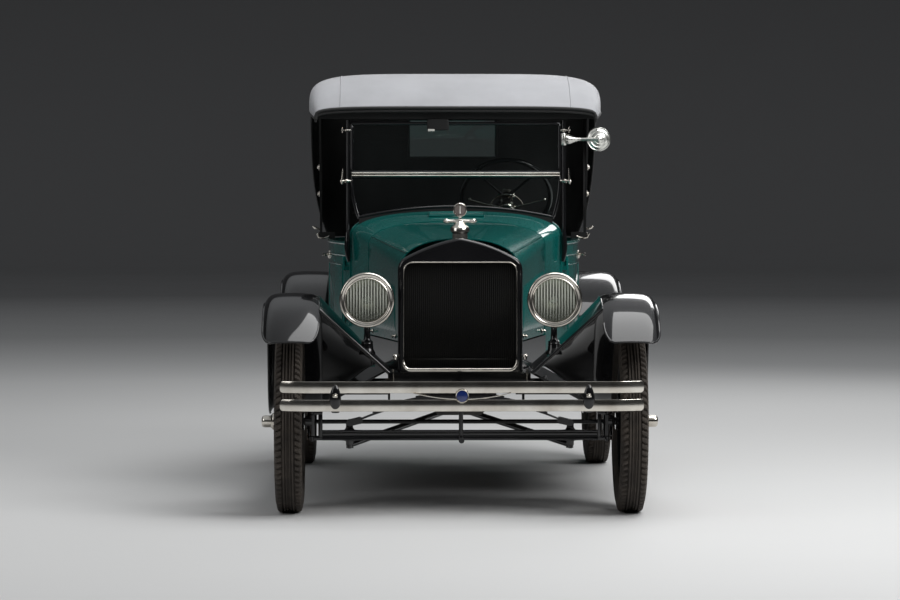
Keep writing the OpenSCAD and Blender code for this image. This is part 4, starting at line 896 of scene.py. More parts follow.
def louvreShapes():
    # each louvre swells from its front edge to an open rear lip, rounded at both ends
    h = hood
    parts = []
    u = np.linspace(0, 1, 8)[:, None]
    v = np.linspace(0, 1, 18)[None]
    for y in np.linspace(150, 650, h["louvres"]):
        yy = y + 20 * u + 0 * v
        zz = h["louvreLow"] + (h["louvreHigh"] + 60 * hoodShare(y) - h["louvreLow"]) * v + 0 * u
        base = h["front"][2] + (h["rear"][2] - h["front"][2]) * hoodShare(yy)
        skin = sideFootX(yy) + 4.0 * (zz - h["foot"]) / (base - h["foot"])
        swell = 8.0 * np.clip(np.sin(np.pi * v), 0, 1) ** 0.35 * (u ** 0.7) - 0.6
        grid = sideBySide(skin + swell, yy, zz)
        under = sideBySide(skin + swell * 0.8 - 1.4, yy, zz)
        parts.append(sheetBetween(grid, under))
    return joined(parts)


def hoodLatch(y):
    # a turned stem with a cross bar, on the side panel above the sill
    x = sideFootX(y) + 1
    stem = revolve([(0, 16), (6, 15), (7, 11), (4, 8), (4, 3), (9, 2), (10, 0), (0, 0)], (x, y, 728),
                   (1, 0, 0), 20)
    grip = tube([(x + 13, y - 16, 726), (x + 15, y - 8, 727), (x + 16, y, 728), (x + 15, y + 8, 729),
                 (x + 13, y + 16, 730)], [3.5, 4.5, 4.5, 4.5, 3.5], 10)
    return joined([stem, grip])


for sideName, flip in vehicleSides:
    addPiece("hoodTop_" + sideName, flip(hoodTopShape()), bodyGreen, "hood_top_" + sideName,
             ["hood_top_" + sideName])
    panel = joined([sheetBetween(hoodSideFaces(0.0), hoodSideFaces(hood["sheet"])), louvreShapes()])
    addPiece("hoodSide_" + sideName, flip(panel), bodyGreen, "hood_side_" + sideName,
             ["hood_side_" + sideName])
    addPiece("hoodLatches_" + sideName, flip(joined([hoodLatch(150), hoodLatch(640)])), nickel,
             "hood_side_" + sideName)
print("hood made")

# cowl: the hood's rear crown grows into the wider cab, with a vent flap on top and a raised rear moulding
cowl = {"front": (733.0, 388.0, 1093.0, 112.0, 2.5), "rear": (1000.0, 468.0, 1128.0, 118.0, 2.6),
        "foot": 566.0, "wall": 30.0, "ventY": 880.0, "ventHalf": 120.0}


def cowlRing(s, inset):
    # the crown from side to side, with straight lines down to the foot
    crown = crownRing(s, np.linspace(0, np.pi, 90), inset)
    w = np.linspace(0, 1, 16)[:-1, None]
    right = np.array([s[1] - inset, s[0], cowl["foot"]]) * (1 - w) + crown[0] * w
    left = right[::-1] * np.array([-1, 1, 1])
    return np.concatenate([right, crown, left])


def cowlAt(y):
    # station values between the two ends, in proportion
    t = (y - cowl["front"][0]) / (cowl["rear"][0] - cowl["front"][0])
    return tuple(a + (b - a) * t for a, b in zip(cowl["front"], cowl["rear"]))


def cowlTopZ(x, y):
    # height of the crown over a point: the superellipse solved for its height
    s = cowlAt(y)
    return s[2] + s[3] * np.maximum(1 - np.abs(x / s[1]) ** s[4], 0) ** (1 / s[4])


def cowlShape():
    # two skins between the end rings, a flat wall towards the engine, and a bead round the rear edge
    skin = sheetBetween(*[betweenRings(cowlRing(cowl["front"], inset), cowlRing(cowl["rear"], inset), 20)
                          for inset in (0.0, cowl["wall"])])
    wallRing = crownRing((741.0, 362.0, 1093.0, 86.0, 2.5), np.linspace(0, np.pi, 40))
    low = np.array([[-362.0, 741.0, 722.0], [362.0, 741.0, 722.0]])
    ring = np.concatenate([wallRing, low])
    firewall = loftRings(np.stack([ring - [0, 4, 0], ring + [0, 6, 0]]))
    bead = tube(cowlRing(cowlAt(996.0), -1.0)[10:-10], 5.0, 10)
    return joined([skin, firewall, bead])


def ventShape():
    # a curved lid that follows the crown, with a raised rim
    x = np.linspace(-cowl["ventHalf"], cowl["ventHalf"], 36)[None]
    y = cowl["ventY"] + np.linspace(-42, 42, 12)[:, None]
    z = cowlTopZ(x + 0 * y, y + 0 * x)
    top = sideBySide(x, y, z + 6)
    lid = sheetBetween(top, top - [0, 0, 9])
    rim = np.concatenate([top[0], top[1:, -1], top[-1, -2::-1], top[-2:0:-1, 0]])
    return joined([lid, tube(rim, 3.0, 8, True)])


greenPiece("cowlBody", cowlShape(), ["cowl"])
greenPiece("cowlVent", ventShape())

# cab: a plan curve with rounded rear corners, carried straight up, with door openings and a belt bead
cab = {"foot": 566.0, "belt": 1108.0, "wall": 30.0, "doorFront": 1062.0, "doorRear": 1560.0,
       "doorLow": 640.0, "rear": 1990.0, "corner": 120.0, "rearHalf": 565.0, "gap": 5.0, "frameTop": 590.0,
       "front": 1000.0, "sideEnd": 1750.0, "hinges": (760.0, 1010.0), "hingeOut": 8.0}
planY = np.array([1000.0, 1100.0, 1249.8, 1399.8, 1560.0, 1750.0])
planX = np.array([468.0, 500.0, 535.0, 558.0, 573.0, 575.0])


def planHalf(y):
    # a smooth curve through the measured half widths
    return throughKnots(planY, planX[:, None], y)[:, 0]


def rearPlan(inset):
    # side, rounded corner and half of the back, as one line of plan points
    y = np.linspace(cab["doorRear"], cab["sideEnd"], 14)
    side = sideBySide(planHalf(y) - inset, y)
    a = np.linspace(0, np.pi / 2, 24)
    r = cab["corner"]
    bend = np.array([cab["rearHalf"], cab["rear"]]) - r + (r - inset) * sideBySide(np.cos(a), np.sin(a))
    link = np.linspace(side[-1], bend[0], 8)[1:-1]
    back = np.linspace(bend[-1], (0, bend[-1, 1]), 10)[1:]
    return np.concatenate([side, link, bend, back])


def wallPanel(outer, inner, low, high, rows=10):
    # plan lines of the two faces, carried up from one height to another
    z = np.linspace(low, high, rows)
    grids = []
    for line in (outer, inner):
        grids.append(sideBySide(line[None, :, 0], line[None, :, 1], z[:, None]))
    return sheetBetween(*grids)


def sideLine(y0, y1, inset):
    # plan points of the cab's side between two places along the vehicle
    y = np.linspace(y0, y1, 24)
    return sideBySide(planHalf(y) - inset, y)


def lineAt(line, z):
    # plan points lifted to one height
    return sideBySide(line[:, 0], line[:, 1], z)


def sidePanel(y0, y1, low, high, rows=10):
    # both faces of the cab's side between two places and two heights
    return wallPanel(sideLine(y0, y1, 0), sideLine(y0, y1, cab["wall"]), low, high, rows)


def hingeX():
    # the hinge pins stand a little outside the front edge of the door
    return float(planHalf(np.array([cab["doorFront"]]))[0]) + cab["hingeOut"]


def cabShape():
    # wall panels round the door opening, beads at the belt and the foot, and the fixed hinge leaves
    c = cab
    x, y = hingeX(), c["doorFront"]
    parts = [sidePanel(c["front"], y, c["foot"], c["belt"]),
             sidePanel(y, c["doorRear"], c["foot"], c["doorLow"]),
             wallPanel(rearPlan(0.0), rearPlan(c["wall"]), c["frameTop"], c["belt"], 16),
             sidePanel(c["doorRear"], c["sideEnd"], c["foot"], c["frameTop"], 3)]
    parts.append(tube(lineAt(rearPlan(0.0), c["belt"] - 8), 7.0, 10))
    parts.append(tube(lineAt(rearPlan(0.0), c["belt"] - 62), 4.0, 8))
    parts.append(tube(lineAt(sideLine(c["front"], y, 0), c["belt"] - 8), 7.0, 10))
    parts.append(tube(lineAt(sideLine(c["front"], c["sideEnd"], 0), c["foot"] + 8), 5.0, 8))
    for z in c["hinges"]:
        parts.append(revolve([(0, -33), (4, -32), (7, -29), (7, -12.5), (0, -12.5)], (x, y, z), (0, 0, 1),
                             20))
        parts.append(revolve([(0, 12.5), (7, 12.5), (7, 29), (4, 32), (0, 33)], (x, y, z), (0, 0, 1), 20))
        parts.append(bar((x - 26, y - 40, z - 30), (x - 4, y - 2, z - 13)))
        parts.append(bar((x - 26, y - 40, z + 13), (x - 4, y - 2, z + 30)))
    return bothSides(joined(parts))


def doorShape():
    # the panel inside its gap, two beads at the belt, a raised frame, and the moving hinge leaves
    c = cab
    y0, y1, z0 = c["doorFront"] + c["gap"], c["doorRear"] - c["gap"], c["doorLow"] + c["gap"]
    parts = [sidePanel(y0, y1, z0, c["belt"], 14), tube(lineAt(sideLine(y0, y1, 0), c["belt"] - 8), 7.0,
                                                        10)]
    parts.append(tube(lineAt(sideLine(y0, y1, 0), c["belt"] - 62), 4.0, 8))
    inset = sideLine(y0 + 50, y1 - 50, -0.5)
    rail = np.concatenate([lineAt(inset, c["belt"] - 105), lineAt(inset[::-1], z0 + 60)])
    parts.append(tube(rail, 3.0, 8, True))
    x, y = hingeX(), c["doorFront"]
    for z in c["hinges"]:
        parts.append(revolve([(0, -11), (7, -11), (7, 11), (0, 11)], (x, y, z), (0, 0, 1), 20))
        parts.append(bar((x - 8, y + 2, z - 10), (x + 3, y + 46, z + 10)))
    return joined(parts)


def doorHandle():
    # a turned rose, a stem and a tapered lever that points forwards
    y = cab["doorRear"] - 60
    z = cab["belt"] - 70
    x = float(planHalf(np.array([y]))[0])
    rose = revolve([(0, 34), (7, 33), (8, 28), (6, 24), (6, 10), (14, 7), (20, 3), (21, 0), (0, 0)],
                   (x, y, z), (1, 0, 0), 28)
    lever = tube([(x + 27, y + 8, z), (x + 28, y, z), (x + 29, y - 20, z), (x + 28, y - 50, z),
                  (x + 25, y - 80, z - 1)], [5, 7.5, 7, 6, 4], 14)
    return joined([rose, lever])


greenPiece("cabShell", cabShape(), ["cab_body"])
for sideName, flip in vehicleSides:
    addPiece("doorPanel_" + sideName, flip(doorShape()), bodyGreen, "door_" + sideName,
             ["door_" + sideName])
    addPiece("doorHandle_" + sideName, flip(doorHandle()), nickel, "door_" + sideName,
             ["door_" + sideName])
print("cowl, cab and doors made")

# canopy: one cloth sheet over the bows, whose sides and back run on down into the rear curtain
canopy = {"stations": [(985, 622, 1654, 1704), (1030, 634, 1662, 1741), (1080, 644, 1672, 1776),
                       (1160, 652, 1682, 1813), (1250, 656, 1688, 1840), (1450, 656, 1690.3, 1862),
                       (1660, 656, 1690.3, 1858), (1800, 652, 1690.3, 1844), (1850, 645, 1690.3, 1830),
                       (1880, 630, 1690.3, 1804), (1897, 602, 1690.3, 1755), (1904, 560, 1690.3, 1700)],
          "seamX": 512.0, "half": 656.0, "end": 1904.0, "eave": 1690.3, "bowY": (1040.0, 1450.0, 1825.0),
          "backRows": 34, "round": 5.0, "columns": 97, "rows": 61, "foldY": 1660.0, "low": 1112.0,
          "lowHalf": 578.0, "lowBack": 1995.0, "lowFront": 1840.0, "corner": 105.0, "thick": 4.0,
          "paneHalf": 202.0, "paneLow": 1484.4, "paneHigh": 1657.5, "paneBehind": 1880.0}


def smoothRow(stations, count):
    # a curve through the station rows, over their chord lengths
    s = np.asarray(stations, float)
    chord = np.concatenate([[0], np.cumsum(np.linalg.norm(np.diff(s[:, [0, 3]], axis=0), axis=1))])
    return throughKnots(chord, s, np.linspace(0, chord[-1], count))


def evenly(line, count):
    # the same polyline with points at equal distances
    run = np.concatenate([[0], np.cumsum(np.linalg.norm(np.diff(line, axis=0), axis=1))])
    u = np.linspace(0, run[-1], count)
    return np.stack([np.interp(u, run, line[:, k]) for k in range(line.shape[1])], -1)


def roofGrid():
    # across: a superellipse at equal steps; along: the station curve; the cloth dips between the bows
    c = canopy
    a = np.linspace(0, np.pi, 721)
    arch = sideBySide(powered(np.cos(a), 2 / c["round"]), np.sin(a) ** (2 / c["round"]))
    grid = []
    for y, half, side, top in smoothRow(c["stations"], c["rows"]):
        line = evenly(sideBySide(arch[:, 0] * half, side + arch[:, 1] * (top - side)), c["columns"])
        grid.append(sideBySide(line[:, 0], y, line[:, 1]))
    grid = np.array(grid)
    y = grid[..., 1]
    first, second, third = c["bowY"]
    span = np.where(y < second, (y - first) / (second - first), (y - second) / (third - second))
    dip = np.sin(np.pi * np.clip(span, 0, 1)) ** 2
    across = np.clip(1 - (grid[..., 0] / 560) ** 4, 0, 1)
    grid[..., 2] -= 5.0 * dip * across
    grid[..., 2] += 1.2 * across * np.sin(grid[..., 0] / 61 + y / 47) * dip
    return grid


def curtainGrid(roof):
    # each point of the roof's side and rear edge goes down to its place on the belt line of the cab;
    # the sides stay full over the rear irons and tuck in only near the belt
    c = canopy
    start = int(np.searchsorted(roof[:, 0, 1], c["foldY"]))
    top = np.concatenate([roof[start:, 0], roof[-1, 1:-1], roof[start:, -1][::-1]])
    a = np.linspace(0, np.pi / 2, 24)
    side = sideBySide(c["lowHalf"], np.linspace(c["lowFront"], c["lowBack"] - c["corner"], 12))
    inner = np.array([c["lowHalf"], c["lowBack"]]) - c["corner"]
    half = np.concatenate([side[:-1], inner + c["corner"] * sideBySide(np.cos(a), np.sin(a))])
    n = len(roof) - start
    first = evenly(half, n)
    back = np.linspace(half[-1], half[-1] * np.array([-1, 1]), len(top) - 2 * n + 2)[1:-1]
    last = first[::-1] * np.array([-1, 1])
    low = np.concatenate([first, back, last])
    low = np.concatenate([low, np.full((len(low), 1), c["low"])], -1)
    v = np.linspace(0, 1, c["backRows"])[:, None, None]
    grid = top[None] * (1 - v) + low[None] * v
    v = v[..., 0]
    lean = grid[..., 0] / c["half"]
    grid[..., 0] += 78 * (v - v ** 4) * np.sign(lean) * np.clip(np.abs(lean) * 2 - 1, 0, 1)
    fold = np.sin(np.arange(len(top)) * 0.55)[None] * np.sin(np.pi * v) ** 2
    grid[..., 1] += 2.0 * fold * (grid[..., 1] > 1860)
    return grid


def canopyPiece():
    # roof and curtain grids welded to one sheet, with a hole for the rear window and a thin wall
    roof = roofGrid()
    curtain = curtainGrid(roof)
    rowsB, colsB = curtain.shape[:2]
    points = np.concatenate([roof.reshape(-1, 3), curtain.reshape(-1, 3)])
    count = roof.shape[0] * roof.shape[1]
    faces = np.concatenate([gridFaces(*roof.shape[:2]), gridFaces(rowsB, colsB)[:, ::-1] + count])
    x, y, z = points[faces].mean(1).T
    c = canopy
    hole = (np.abs(x) < c["paneHalf"]) & (y > c["paneBehind"]) & (z > c["paneLow"]) & (z < c["paneHigh"])
    mesh = meshOf("canopyCloth", inMetres(points), faces[~hole])
    work = bmesh.new()
    work.from_mesh(mesh)
    bmesh.ops.remove_doubles(work, verts=work.verts, dist=0.0004)
    bmesh.ops.recalc_face_normals(work, faces=work.faces)
    crown = max(work.faces, key=lambda f: f.calc_center_median().z)
    if crown.normal.z < 0:
        bmesh.ops.reverse_faces(work, faces=work.faces)
    flatArea = sum(f.calc_area() for f in work.faces)
    work.to_mesh(mesh)
    work.free()
    mesh.materials.append(topCloth)
    mesh.materials.append(topLining)
    mesh.shade_smooth()
    cloth = inScene("canopyCloth", mesh)
    wall = cloth.modifiers.new("wall", "SOLIDIFY")
    wall.thickness = c["thick"] / metre
    wall.offset = -1
    wall.material_offset = 1
    wall.use_even_offset = True
    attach(cloth, "chassis")
    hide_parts("top_canopy")
    return cloth, flatArea, roof, curtain


canopyCloth, canopyArea, roofPoints, curtainPoints = canopyPiece()
frontEdge = roofPoints[0]
foldRow = int(np.searchsorted(roofPoints[:, 0, 1], canopy["foldY"]))
sideEdges = [roofPoints[:foldRow + 1, k] for k in (0, -1)]
welt = tube(frontEdge + [0, -1, -2], 7.0, 12)
weltBand = tube(frontEdge + [0, 4, -16], 6.0, 10)
hems = [tube(edge + [0, 0, -1], 4.5, 10) for edge in sideEdges]
curtainHem = [tube(curtainPoints[:, k], 4.0, 8) for k in (0, -1)]
curtainHem.append(tube(curtainPoints[-1] + [0, 0, 3], 5.0, 8))
seams = []
for x in (-canopy["seamX"], canopy["seamX"]):
    seams.append(tube([(x, row[0, 1], np.interp(x, row[::-1, 0],
                                                row[::-1, 2]) + 0.8) for row in roofPoints], 2.4, 8))
canopyTrim = addPiece("canopyTrim", joined([welt, weltBand] + hems + curtainHem), topLining, "chassis")
canopySeams = addPiece("canopySeams", joined(seams), topCloth, "chassis")


def paneBorder():
    # a round moulding a little outside the rear window, on the lean of the curtain
    c = canopy
    out = 4
    line = []
    for side, z, up in ((-1, c["paneLow"], -1), (1, c["paneLow"], -1), (1, c["paneHigh"], 1),
                        (-1, c["paneHigh"], 1)):
        lean = c["end"] + (c["lowBack"] - c["end"]) * (c["eave"] - z) / (c["eave"] - c["low"])
        line.append((side * (c["paneHalf"] + out), lean + 1, z + up * out))
    return tube(loopThrough(line, 12), 8.0, 10, True)


addPiece("rearWindowBorder", paneBorder(), topLining, "chassis")
print("canopy made, cloth area", round(canopyArea, 2))

# radiator shell: the pointed arch rounds over into a flat front, which turns in at the core opening
radiator = {"arc": 735.0, "slope": 10.0, "fillet": 62.0, "half": 260.0, "top": 1148.0, "foot": 590.0,
            "front": -75.0, "back": 50.0, "coreHalf": 235.0, "coreLow": 604.0, "coreHigh": 1043.0,
            "coreRound": 46.0, "points": 70, "edge": 15.0}


def shellHalf(t):
    # two arcs, the large one over the top and the small one at the shoulder, then straight down
    r = radiator
    cx = -r["arc"] * math.sin(math.radians(r["slope"]))
    cz = r["top"] - r["arc"] * math.cos(math.radians(r["slope"]))
    fz = cz + math.sqrt((r["arc"] - r["fillet"]) ** 2 - (r["half"] - r["fillet"] - cx) ** 2)
    end = math.atan2(fz - cz, r["half"] - r["fillet"] - cx)
    a = np.linspace(math.acos(-cx / (r["arc"] - t)), end, 50)
    arc = sideBySide(cx + (r["arc"] - t) * np.cos(a), cz + (r["arc"] - t) * np.sin(a))
    b = np.linspace(end, 0, 24)[1:]
    turn = sideBySide(r["half"] - r["fillet"] + (r["fillet"] - t) * np.cos(b),
                      fz + (r["fillet"] - t) * np.sin(b))
    return evenly(np.concatenate([arc, turn, [[r["half"] - t, r["foot"]]]]), r["points"])


def openingHalf():
    # half of the core's opening: level at the top, a quarter circle, then straight down
    r = radiator
    b = np.linspace(math.pi / 2, 0, 20)
    k = r["coreRound"]
    turn = sideBySide(r["coreHalf"] - k + k * np.cos(b), r["coreHigh"] - k + k * np.sin(b))
    return evenly(np.concatenate([[[0, r["coreHigh"]]], turn, [[r["coreHalf"], r["foot"]]]]), r["points"])


def wholeArch(half, y):
    # the half outline from its foot over the top to the other foot, at one place along the vehicle
    line = np.concatenate([half[::-1], half[1:] * np.array([-1, 1])])
    return sideBySide(line[:, 0], y, line[:, 1])


def shellShape():
    # arches from the back along the outside, round the front edge, in at the opening and back inside
    r = radiator
    e = r["edge"]
    way = [(shellHalf(0), r["back"]), (shellHalf(0), -20), (shellHalf(0), r["front"] + 16)]
    for a in np.linspace(0, math.pi / 2, 7)[1:]:
        way.append((shellHalf(e * (1 - math.cos(a))), r["front"] + e - e * math.sin(a)))
    way += [(openingHalf(), r["front"]), (openingHalf(), r["front"] + 11), (shellHalf(26), r["front"] + 12),
            (shellHalf(8), -20), (shellHalf(8), r["back"])]
    rings = np.array([wholeArch(half, y) for half, y in way])
    rows, cols = rings.shape[:2]
    faces = [tuple(q) for q in gridFaces(rows, cols, True, False)]
    faces.append(tuple(range(0, rows * cols, cols)))
    faces.append(tuple(range(cols - 1, rows * cols, cols))[::-1])
    low = bar((-r["coreHalf"], r["front"], r["foot"]), (r["coreHalf"], r["front"] + 11, r["coreLow"] + 4))
    return joined([(rings.reshape(-1, 3), faces), low])


def shellTrimAndEdgeHighlight():
    # bright lines: over the core, round the arch and under the core with its ends turned up; the thin runs
    # down both sides of the core are nickel lines put where the shell's edge shows a highlight, a painted
    # highlight
    r = radiator
    k = 36.0
    b = np.linspace(0, math.pi / 2, 10)
    over = [(x, r["front"] - 1, r["coreHigh"] + 3) for x in np.linspace(0, r["coreHalf"] - k, 14)]
    over += [(r["coreHalf"] - k + k * math.sin(v), r["front"] - 1,
              r["coreHigh"] + 3 - k + k * math.cos(v)) for v in b[1:]]
    # the runs down both sides of the core: a painted highlight along the shell's edge
    over += [(r["coreHalf"] + 1, r["front"] - 1, z) for z in np.linspace(r["coreHigh"] - k - 20, 652, 16)]
    over = np.array([(-x, y, z) for x, y, z in over[:0:-1]] + over)
    thin = np.interp(over[:, 2], [660, 700, 990, 1010], [0.6, 1.4, 1.4, 2.6])
    ends = [(206 + 30 * math.sin(v), r["front"] - 5, 628 - 30 * math.cos(v)) for v in b]
    under = [(x, r["front"] - 5, 598.0) for x in np.linspace(0, 206, 10)[:-1]] + ends
    under.append((236, r["front"] - 5, 640.0))
    under = np.array([(-x, y, z) for x, y, z in under[:0:-1]] + under)
    size = np.full(len(under), 8.5)
    size[:3] = (4.0, 6.0, 8.0)
    size[-3:] = (8.0, 6.0, 4.0)
    return joined([tube(over, thin, 10), tube(under, size, 16)])


def shellStuds():
    # domed studs and short upright rods at the lower corners of the shell
    stud = revolve([(0, 24), (6, 23), (10, 19), (11, 12), (8, 8), (8, 0), (0, 0)], (271, -66, 640),
                   (0, 0, 1), 24)
    upright = tube([(280, -70, 520), (280, -70, 560), (279, -69, 600)], 5.0, 12)
    return bothSides(joined([stud, upright]))


addPiece("radiatorShell", shellShape(), frameBlack, "chassis", ["radiator_shell"], smooth=30)
brightPiece("radiatorTrimAndEdgeHighlight", shellTrimAndEdgeHighlight())
brightPiece("radiatorStuds", shellStuds())


def coreFins():
    # thin upright fins behind the opening, with a cross strap low down
    r = radiator
    x = np.linspace(-r["coreHalf"] + 4, r["coreHalf"] - 4, 58)
    upright = [bar((v - 0.9, -62, r["coreLow"] + 1), (v + 0.9, -43, r["coreHigh"] - 2)) for v in x]
    strap = bar((-r["coreHalf"] + 2, -63, 640), (r["coreHalf"] - 2, -60, 644))
    return joined(upright + [strap])


addPiece("coreFins", coreFins(), coreMetal, "chassis", smooth=0)


# filler cap: places up its axis, and the round gauge that stands on it
gauge = {"y": -10.0, "neckZ": 1148.0, "barZ": 1216.0, "dialZ": 1263.0}


def capTurned(profile, height, axis, steps):
    # a profile turned about an axis through the middle of the cap
    return revolve(profile, (0, gauge["y"], gauge[height]), axis, steps)


def capShape():
    # a turned neck and cap, a dog-bone bar and a round gauge case on a stem
    neck = capTurned([(0, -30), (32, -30), (32, 16), (36, 20), (40, 24), (40, 40), (37, 44), (30, 50),
                      (20, 60), (13, 68), (0, 70)], "neckZ", (0, 0, 1), 64)
    x = np.linspace(-70, 70, 41)
    size = 6.5 + 6.0 * np.exp(-((np.abs(x) - 58) / 9) ** 2) + 4.0 * np.exp(-(x / 14) ** 2)
    size *= np.sqrt(np.clip(1 - (np.abs(x) / 71) ** 12, 0.02, 1))
    handle = tube(sideBySide(x, gauge["y"], gauge["barZ"]), size, 20)
    stem = capTurned([(0, 0), (9, 0), (7, 8), (6, 14), (8, 20), (10, 24), (0, 26)], "barZ", (0, 0, 1), 32)
    case = capTurned([(0, 10), (20, 9), (26, 6), (29, 0), (29, -6), (26, -9), (24, -9), (23, -7), (0, -7)],
                     "dialZ", (0, 1, 0), 56)
    return joined([neck, handle, stem, case])


brightPiece("capGauge", capShape(), ["radiator_cap"])
dial = capTurned([(0, -7.4), (22.5, -7.4), (22.5, -6), (0, -6)], "dialZ", (0, 1, 0), 48)
addPiece("gaugeDial", dial, dialSmoke, "chassis")
needle = tube([(0, -17.8, 1248), (0, -17.8, 1263), (0, -17.8, 1279)], [4.0, 2.4, 2.0], 10)
addPiece("gaugeNeedle", needle, dialWhite, "chassis")
print("radiator made")

# headlamps: a deep bowl, a rolled rim and a lens with upright flutes
lamp = {"x": 387.0, "z": 895.0, "front": -245.0, "glass": 91.0, "flutes": 14, "postY": -150.0,
        "postZ": 716.0}


def lampTurned(profile, steps):
    # a profile turned about the axis of the left lamp
    return revolve(profile, (lamp["x"], lamp["front"], lamp["z"]), (0, 1, 0), steps)


def lampBowl():
    # the turned bowl, its post on the apron and a clip under the rim
    bowl = lampTurned([(101, 12), (104, 12), (105, 26), (104, 60), (98, 92), (86, 120), (68, 144),
                       (44, 160), (20, 169), (0, 172)], 72)
    post = revolve([(0, 0), (24, 0), (24, 5), (17, 10), (14, 16), (13, 40), (13, 80), (15, 92), (20, 100)],
                   (lamp["x"], lamp["postY"], lamp["postZ"]), (0, 0, 1), 40)
    clip = tube([(lamp["x"], -226, 779), (lamp["x"], -214, 776), (lamp["x"], -196, 782)], [6, 7, 5], 10)
    return bothSides(joined([bowl, post, clip]))


def lampRim():
    # a broad rolled ring: a step at the glass, a hollow, then the round of the outer edge
    section = [(87, 9), (87, 4), (88.5, 1.5), (91, 1), (93, 3), (96, 3.6), (99, 2), (102, 0.2), (105, -0.4),
               (108, 0.2), (111, 2.2), (113.4, 6), (114, 11), (113.5, 18), (111, 24), (107, 26), (105, 24),
               (104.5, 13)]
    return bothSides(lampTurned(section + [section[0]], 96))


def lampLens():
    # height over the rim plane: a shallow dome less a ripple across, flattened towards the edge
    rad = np.linspace(0.02, 1, 34)[:, None] * lamp["glass"]
    a = onceRound(120)[None]
    x, z = rad * np.cos(a), rad * np.sin(a)
    dome = 7.0 * (1 - (rad / lamp["glass"]) ** 2)
    ripple = 1.5 * np.abs(np.sin(np.pi * x * lamp["flutes"] / (2 * lamp["glass"])))
    ripple = ripple * np.clip((1 - rad / lamp["glass"]) * 12, 0, 1)
    front = sideBySide(lamp["x"] + x, lamp["front"] + 8 - dome - ripple, lamp["z"] + z)
    rear = sideBySide(lamp["x"] + x, lamp["front"] + 11 - dome, lamp["z"] + z)
    return bothSides(loftRings(np.concatenate([front, rear[::-1]])))


def lampMirror():
    # depth falls off from the middle with the square of the radius
    rad = np.linspace(99, 14, 22)
    deep = 16 + 118 * (1 - (rad / 99) ** 2)
    return bothSides(lampTurned(list(zip(rad, deep)) + [(0, deep[-1] + 1)], 72))


def lampGlobe():
    # a bulb a little longer than it is wide: half an ellipse turned round
    a = np.linspace(0, np.pi, 20)
    return bothSides(lampTurned(list(zip(np.maximum(15 * np.sin(a), 0), 78 - 17 * np.cos(a))), 32))


blackPiece("lampBowls", lampBowl(), ["headlamp_shells"])
brightPiece("lampRims", lampRim(), ["headlamp_rims"])
addPiece("lampLenses", lampLens(), lensGlass, "chassis", ["headlamp_lenses"], smooth=60)
addPiece("lampReflectors", lampMirror(), mirrorSilver, "chassis")
socket = lampTurned([(0, 126), (13, 126), (13, 96), (10, 92), (0, 92)], 28)
brightPiece("lampSockets", bothSides(socket))
addPiece("lampGlobes", lampGlobe(), bulbPearl, "chassis")
print("headlamps made")

# bumper: two spring bars with rounded edges, clamps, and a plain round badge between the bars
bumper = {"heights": (477.0, 551.0), "tall": 48.0, "thick": 8.0, "half": 740.0, "front": -496.0,
          "clampX": 514.0, "endRound": 14.0}


def bumperBack(x):
    # the bar's ends bend back: a smooth curve through the measured offsets
    return np.interp(np.abs(x), [0, 560, 600, 630, 650, 675, 700, 720, 740],
                     [0, 0, 1.2, 4, 7, 13.5, 22, 32, 44])


def bumperBar(z):
    # a flat section with rounded edges, carried across; its height draws in on quarter circles at the ends
    b = bumper
    k = b["endRound"]
    turn = b["half"] - k + k * np.sin(np.linspace(0, np.pi / 2, 10))
    x = np.concatenate([-turn[::-1], np.linspace(k - b["half"], b["half"] - k, 92)[1:-1], turn])
    over = np.clip((np.abs(x) - (b["half"] - k)) / k, 0, 1)
    tall = b["tall"] / 2 - k * (1 - np.sqrt(1 - over ** 2))
    t = b["thick"] / 2
    section = np.array([(-t + 2.4, -1), (-t + 0.8, -0.97), (-t, -0.9), (-t - 0.6, 0), (-t, 0.9),
                        (-t + 0.8, 0.97), (-t + 2.4, 1), (t - 1, 1), (t, 0.95), (t, -0.95), (t - 1, -1)])
    y = b["front"] + t + bumperBack(x)[:, None] + section[None, :, 0]
    zz = z + tall[:, None] * section[None, :, 1]
    rings = sideBySide(x[:, None], y, zz)
    return loftRings(rings)


brightPiece("bumperBars", joined([bumperBar(z) for z in bumper["heights"]]), ["bumper_bars"])


def bumperClamp():
    # an egg-shaped dome in front, broader below, a strap behind the bars and the arm back to the frame
    b = bumper
    x = b["clampX"]
    v = np.linspace(0.03, np.pi - 0.03, 34)[:, None]
    a = onceRound(36)[None]
    half = 23 * np.sin(v) * (1 + 0.22 * np.cos(v))
    z = 512 - 50 * np.cos(v) + 0 * a
    egg = sideBySide(x + half * np.cos(a), b["front"] + np.minimum(half * 0.62 * np.sin(a), 4), z)
    plate = loftRings(egg)
    strap = roundedBox((x - 20, -487, 446), (x + 20, -479, 582), 6.0)
    arm = tube([(x, -482, 540), (x - 40, -430, 540), (x - 120, -300, 540), (314, -150, 540),
                (306, -100, 540), (304, -60, 540)], [12, 13, 13, 13, 12, 12], 16)
    foot = bar((292, -112, 520), (312, -20, 560))
    return bothSides(joined([plate, strap, arm, foot]))


blackPiece("bumperClamps", bumperClamp(), ["bumper_brackets"])
boltHead = [(0, 10), (3, 9.5), (6, 7), (7, 4), (7, 2), (10, 1.5), (11, 0), (0, 0)]
clampBolt = revolve(boltHead, (bumper["clampX"], -508, 516), (0, -1, 0), 24)
brightPiece("bumperBolts", bothSides(clampBolt))

# badge: a plain domed disc in a rolled rim, on a strap, over a bent wire
badge = {"centre": (0, -498, 516), "radius": 24.0, "wireHalf": 198.0}


